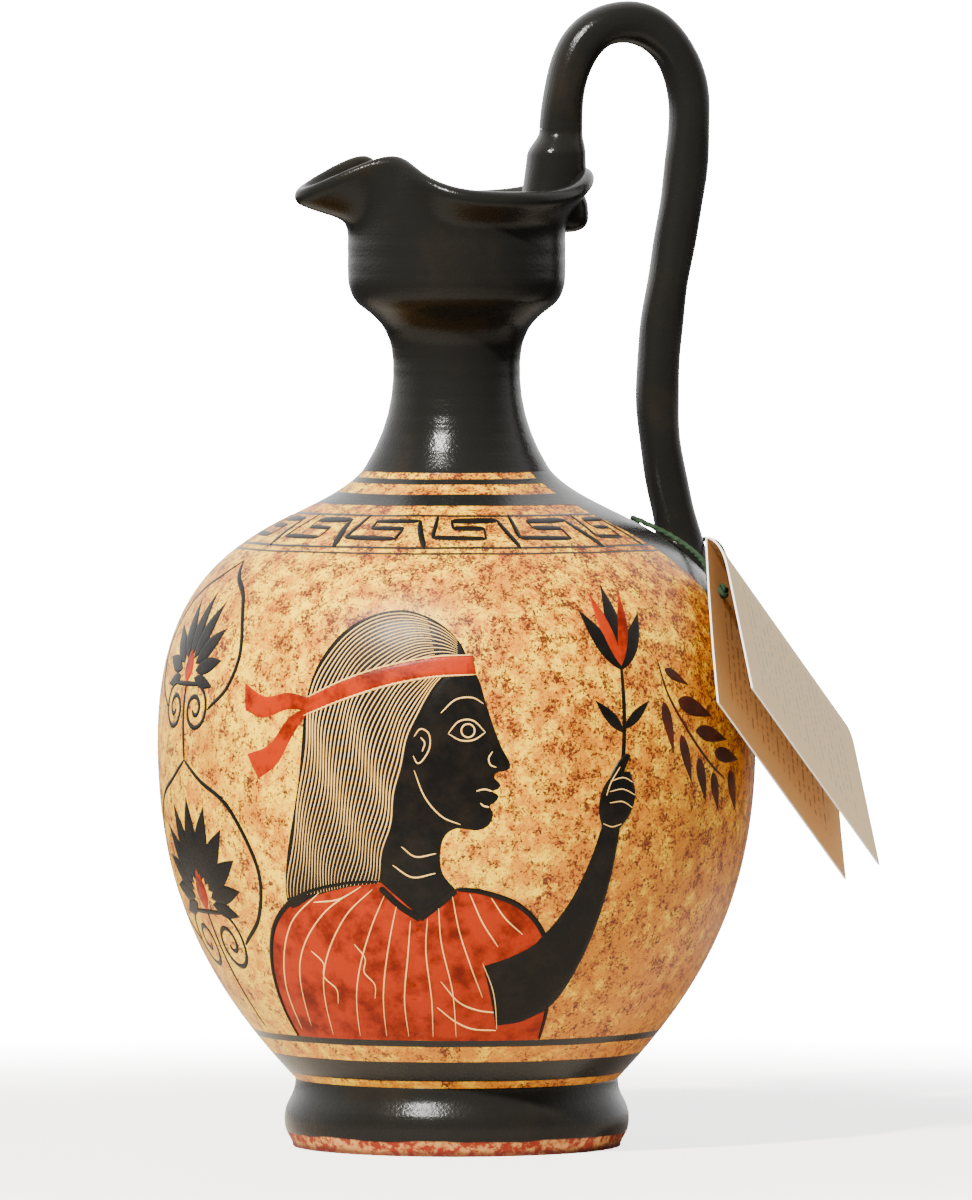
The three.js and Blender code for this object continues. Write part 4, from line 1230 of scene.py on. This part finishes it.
# %% The card's finish
LEAF_LENGTH, LEAF_WIDTH, LEAF_THICKNESS = 82, 50, 0.45
LEAF_ROWS, LEAF_STEPS = 60, 60
RULE_PITCH, RULE_INK = 3.3, 0.55
RULED_COLUMNS, RULED_ROWS = (12, 50), (8, 54)
CARD_CORE = (0.86, 0.84, 0.80, 1)
CARD_FIBRE = (0.30, 0.22, 0.14, 1)
CREAM_FACE = (0.99, 0.76, 0.44, 1)
NICK = 0.01


def card_finish(name, front, back, ink):
    """A face colour on either side, white cut edges, and faint broken rules down the front."""
    paint = Paint(name, 0.25)
    sheet = paint.place("UV")
    u, v, _ = paint.axes(sheet)
    column, row = u * (2 * LEAF_STEPS), v * (LEAF_ROWS + 2)
    fibres = paint.noise(paint.place(), 420, 4, 0.65)
    rule = (row * (LEAF_LENGTH / LEAF_ROWS / RULE_PITCH)).fraction()
    broken = paint.noise(paint.stretched(sheet, 95, 26, 1), 1, 1).rising(0.46, 0.52)
    ruled = column.inside(*RULED_COLUMNS, 0.5) * row.inside(*RULED_ROWS, 0.5)
    inked = rule.inside(0.3, 0.62, 0.08) * broken * ruled
    on_front = 1 - column.rising(LEAF_STEPS - 1 - NICK, LEAF_STEPS - 1 + NICK)
    face = paint.mix(on_front, back, front)
    face = paint.mix(on_front * inked * RULE_INK, face, ink)
    far_edge = column.inside(LEAF_STEPS - 1, LEAF_STEPS, NICK)
    near_edge = column.rising(2 * LEAF_STEPS - 1 - NICK, 2 * LEAF_STEPS - 1 + NICK)
    edge = (far_edge + near_edge).most(1 - row.inside(1, LEAF_ROWS, NICK))
    colour = paint.mix(0.12 * fibres, paint.mix(edge, face, CARD_CORE), CARD_FIBRE)
    return paint.feed(base_color=colour, roughness=0.62 + 0.2 * fibres, normal=paint.bump(fibres, 0.02))


tan_card = card_finish("tan_card", (0.68, 0.38, 0.13, 1), (0.70, 0.55, 0.36, 1), (0.10, 0.05, 0.02, 1))
cream_card = card_finish("cream_card", CREAM_FACE, (0.62, 0.40, 0.20, 1), (0.46, 0.42, 0.40, 1))
crease_card = card_finish("crease_card", CREAM_FACE, (0.65, 0.39, 0.17, 1), CREAM_FACE)
print("card finishes:", tan_card.name, cream_card.name, crease_card.name)

# %% [markdown]
# ## Card
# The tag is one sheet of card folded along its long side. Stiff card does not crease flat: the outer leaf
# springs off at the fold and comes round to a straight run a little off the inner one. Each leaf rides on
# its own body, and the crease between them bends from one to the other.

# %% Sheet and leaf
FOLD_SPRUNG, CREASE = 17, 0.3


def sheet_grid(line, thickness):
    """Closed thin sheet along the fold from a section line (n, 2), off the belly and up the leaf."""
    along = directions(line)
    side = np.stack([-along[:, 1], along[:, 0]], -1) * thickness / 2
    loop = np.concatenate([line + side, (line - side)[::-1]])
    middle = np.concatenate([line, line[::-1]])
    y = np.linspace(0, LEAF_LENGTH, LEAF_ROWS)[:, None]
    ends = on_tag(middle[:, 0], y[[0, -1]], middle[:, 1])
    return np.concatenate([ends[:1], on_tag(loop[:, 0], y, loop[:, 1]), ends[1:]])


def leaf_grid(start, opening, spring, drift):
    """A leaf: d from the fold it leans by o + b (1 - d / D)^3 up to D, then by o, and drifts by e s^2."""
    s = np.linspace(0, 1, LEAF_STEPS)
    run = (LEAF_WIDTH - CREASE) / (LEAF_STEPS - 1)
    lean = opening + spring * np.maximum(1 - s * (LEAF_WIDTH - CREASE) / FOLD_SPRUNG, 0) ** 3
    x = start + np.cumsum(np.sin(lean) * run) - np.sin(lean[0]) * run + drift * s**2
    z = -CREASE - np.cumsum(np.cos(lean) * run) + np.cos(lean[0]) * run
    return sheet_grid(np.stack([x, z], -1), LEAF_THICKNESS)


# %% Crease
FOLD_OPENING, FOLD_SPRING = math.radians(7.5), math.radians(48)
INNER_START, OUTER_START = -0.25, 0.5
CREASE_FOOT, CREASE_LAP, CREASE_PROUD = 1.0, 0.5, 0.04
CREASE_RISE, CREASE_FALL = 1.03, 1.2


def crease_grid():
    """The bend between the leaves: a cubic up the inner leaf, over the fold and down along the outer one."""
    down = arm(math.degrees(FOLD_OPENING + FOLD_SPRING) - 90, 1)
    inner = np.array([INNER_START, -CREASE_FOOT])
    outer = np.array([OUTER_START, -CREASE]) + CREASE_LAP * down
    line = cubic(inner, (0, CREASE_RISE), -CREASE_FALL * down, outer, LEAF_STEPS)
    return sheet_grid(line, LEAF_THICKNESS + CREASE_PROUD)


# %% Card
INNER_DRIFT = 1.2

inner_leaf = skin("inner_leaf", leaf_grid(INNER_START, 0, 0, INNER_DRIFT))
outer_leaf = skin("outer_leaf", leaf_grid(OUTER_START, FOLD_OPENING, FOLD_SPRING, 0))
crease = skin("fold_crease", crease_grid())
dress(inner_leaf, "tag_inner_leaf", "card", tan_card, "tag_inner_leaf")
dress(outer_leaf, "tag_outer_leaf", "card", cream_card, "tag_outer_leaf")
bend_start, bend_end = on_tag(np.array([0, 0.9 * OUTER_START]), LEAF_LENGTH / 2, -CREASE) * MM
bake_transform(crease)
crease.data.materials.append(crease_card)

# %% [markdown]
# ## Floor
# The jug stands on a plain pale floor that runs out into a white ground. A large plane would end in a line,
# so the floor is a disc whose cover thins out towards its edge.

# %% Floor
FLOOR_RADIUS, FLOOR_FADE, FLOOR_COVER = 0.47, 0.14, 0.86
FLOOR_DULL, FLOOR_PALE = (0.80, 0.72, 0.60, 1), (0.84, 0.76, 0.64, 1)


def floor_finish():
    """Pale and a little warm, fading out a step behind the jug."""
    paint = Paint("pale_floor", 0.5)
    paint.shader.inputs["Roughness"].default_value = 0.6
    place = paint.place()
    x, y, _ = paint.axes(place)
    near = paint.mix(paint.noise(place, 40, 4), FLOOR_DULL, FLOOR_PALE)
    far = (x * x + y * y).rising(FLOOR_FADE**2, FLOOR_RADIUS**2)
    return paint.feed(base_color=near, alpha=FLOOR_COVER * (1 - far))


disc = turned(np.array([(0, 0), (FLOOR_RADIUS / MM, 0)]), 96)
floor = skin("floor", disc, round_rows=True, round_columns=False)
floor.data.materials.append(floor_finish())

# %% [markdown]
# ## Light
# One key light stands at the front left, high enough to throw the jug's shadow back to the right. The sky is
# bright behind the jug and dim in front of it, so the slip stays black where it faces us and shines where it
# turns away. More lamps could do that too, but each would show its own edge in the gloss.

# %% Key light
KEY_AZIMUTH = CAMERA_AZIMUTH - math.radians(28)
KEY_ELEVATION = math.radians(44)
KEY_DISTANCE, KEY_SIZE, KEY_POWER = 2.6, 0.155, 265
KEY_COLOUR = (1.0, 0.97, 0.92)


def lamp(name, azimuth, elevation):
    """A round soft light that looks at the jug's middle."""
    made = bpy.data.objects.new(name, bpy.data.lights.new(name, "AREA"))
    made.data.shape = "DISK"
    made.data.size = KEY_SIZE
    made.data.energy = KEY_POWER
    made.data.color = KEY_COLOUR
    level = math.cos(elevation)
    back = Vector((math.sin(azimuth) * level, -math.cos(azimuth) * level, math.sin(elevation)))
    made.location = back * KEY_DISTANCE + aim
    made.rotation_mode = "QUATERNION"
    made.rotation_quaternion = (-back).to_track_quat("-Z", "Y")
    bpy.context.scene.collection.objects.link(made)
    return made


key_light = lamp("key_light", KEY_AZIMUTH, KEY_ELEVATION)
print("key light at", [round(v, 2) for v in key_light.location])

# %% Sky
SKY_FRONT, SKY_BACK, SKY_FILL, SKY_SEEN = 0.12, 2.2, 0.46, 20


class Sky(Paint):
    """The world's own nodes, made by the same method."""

    def __init__(self, name):
        self.holder = bpy.data.worlds.new(name)
        self.holder.use_nodes = True
        self.tree = self.holder.node_tree
        self.shader = self.tree.nodes["Background"]
        self.shader.inputs["Color"].default_value = (1, 1, 1, 1)


def white_sky():
    """A dim fill, mirrored bright from behind the jug and dark from before it, and seen as white."""
    sky = Sky("white_sky")
    way = sky.place("Generated")
    front = sky.node("ShaderNodeVectorMath", {"operation": "DOT_PRODUCT"}, {0: way, 1: tuple(to_camera)}, 1)
    height = sky.axes(way)[2]
    shine = SKY_BACK + (SKY_FRONT - SKY_BACK) * front.rising(-0.35, 0.45)
    shine = SKY_FRONT + (shine - SKY_FRONT) * height.rising(-0.15, 0.1)
    seen = sky.node("ShaderNodeLightPath", output="Is Camera Ray")
    mirrored = sky.node("ShaderNodeLightPath", output="Is Glossy Ray")
    light = SKY_FILL + (shine - SKY_FILL) * mirrored
    return sky.feed(strength=light + (SKY_SEEN - light) * seen)


bpy.context.scene.world = white_sky()
print("sky:", bpy.context.scene.world.name)
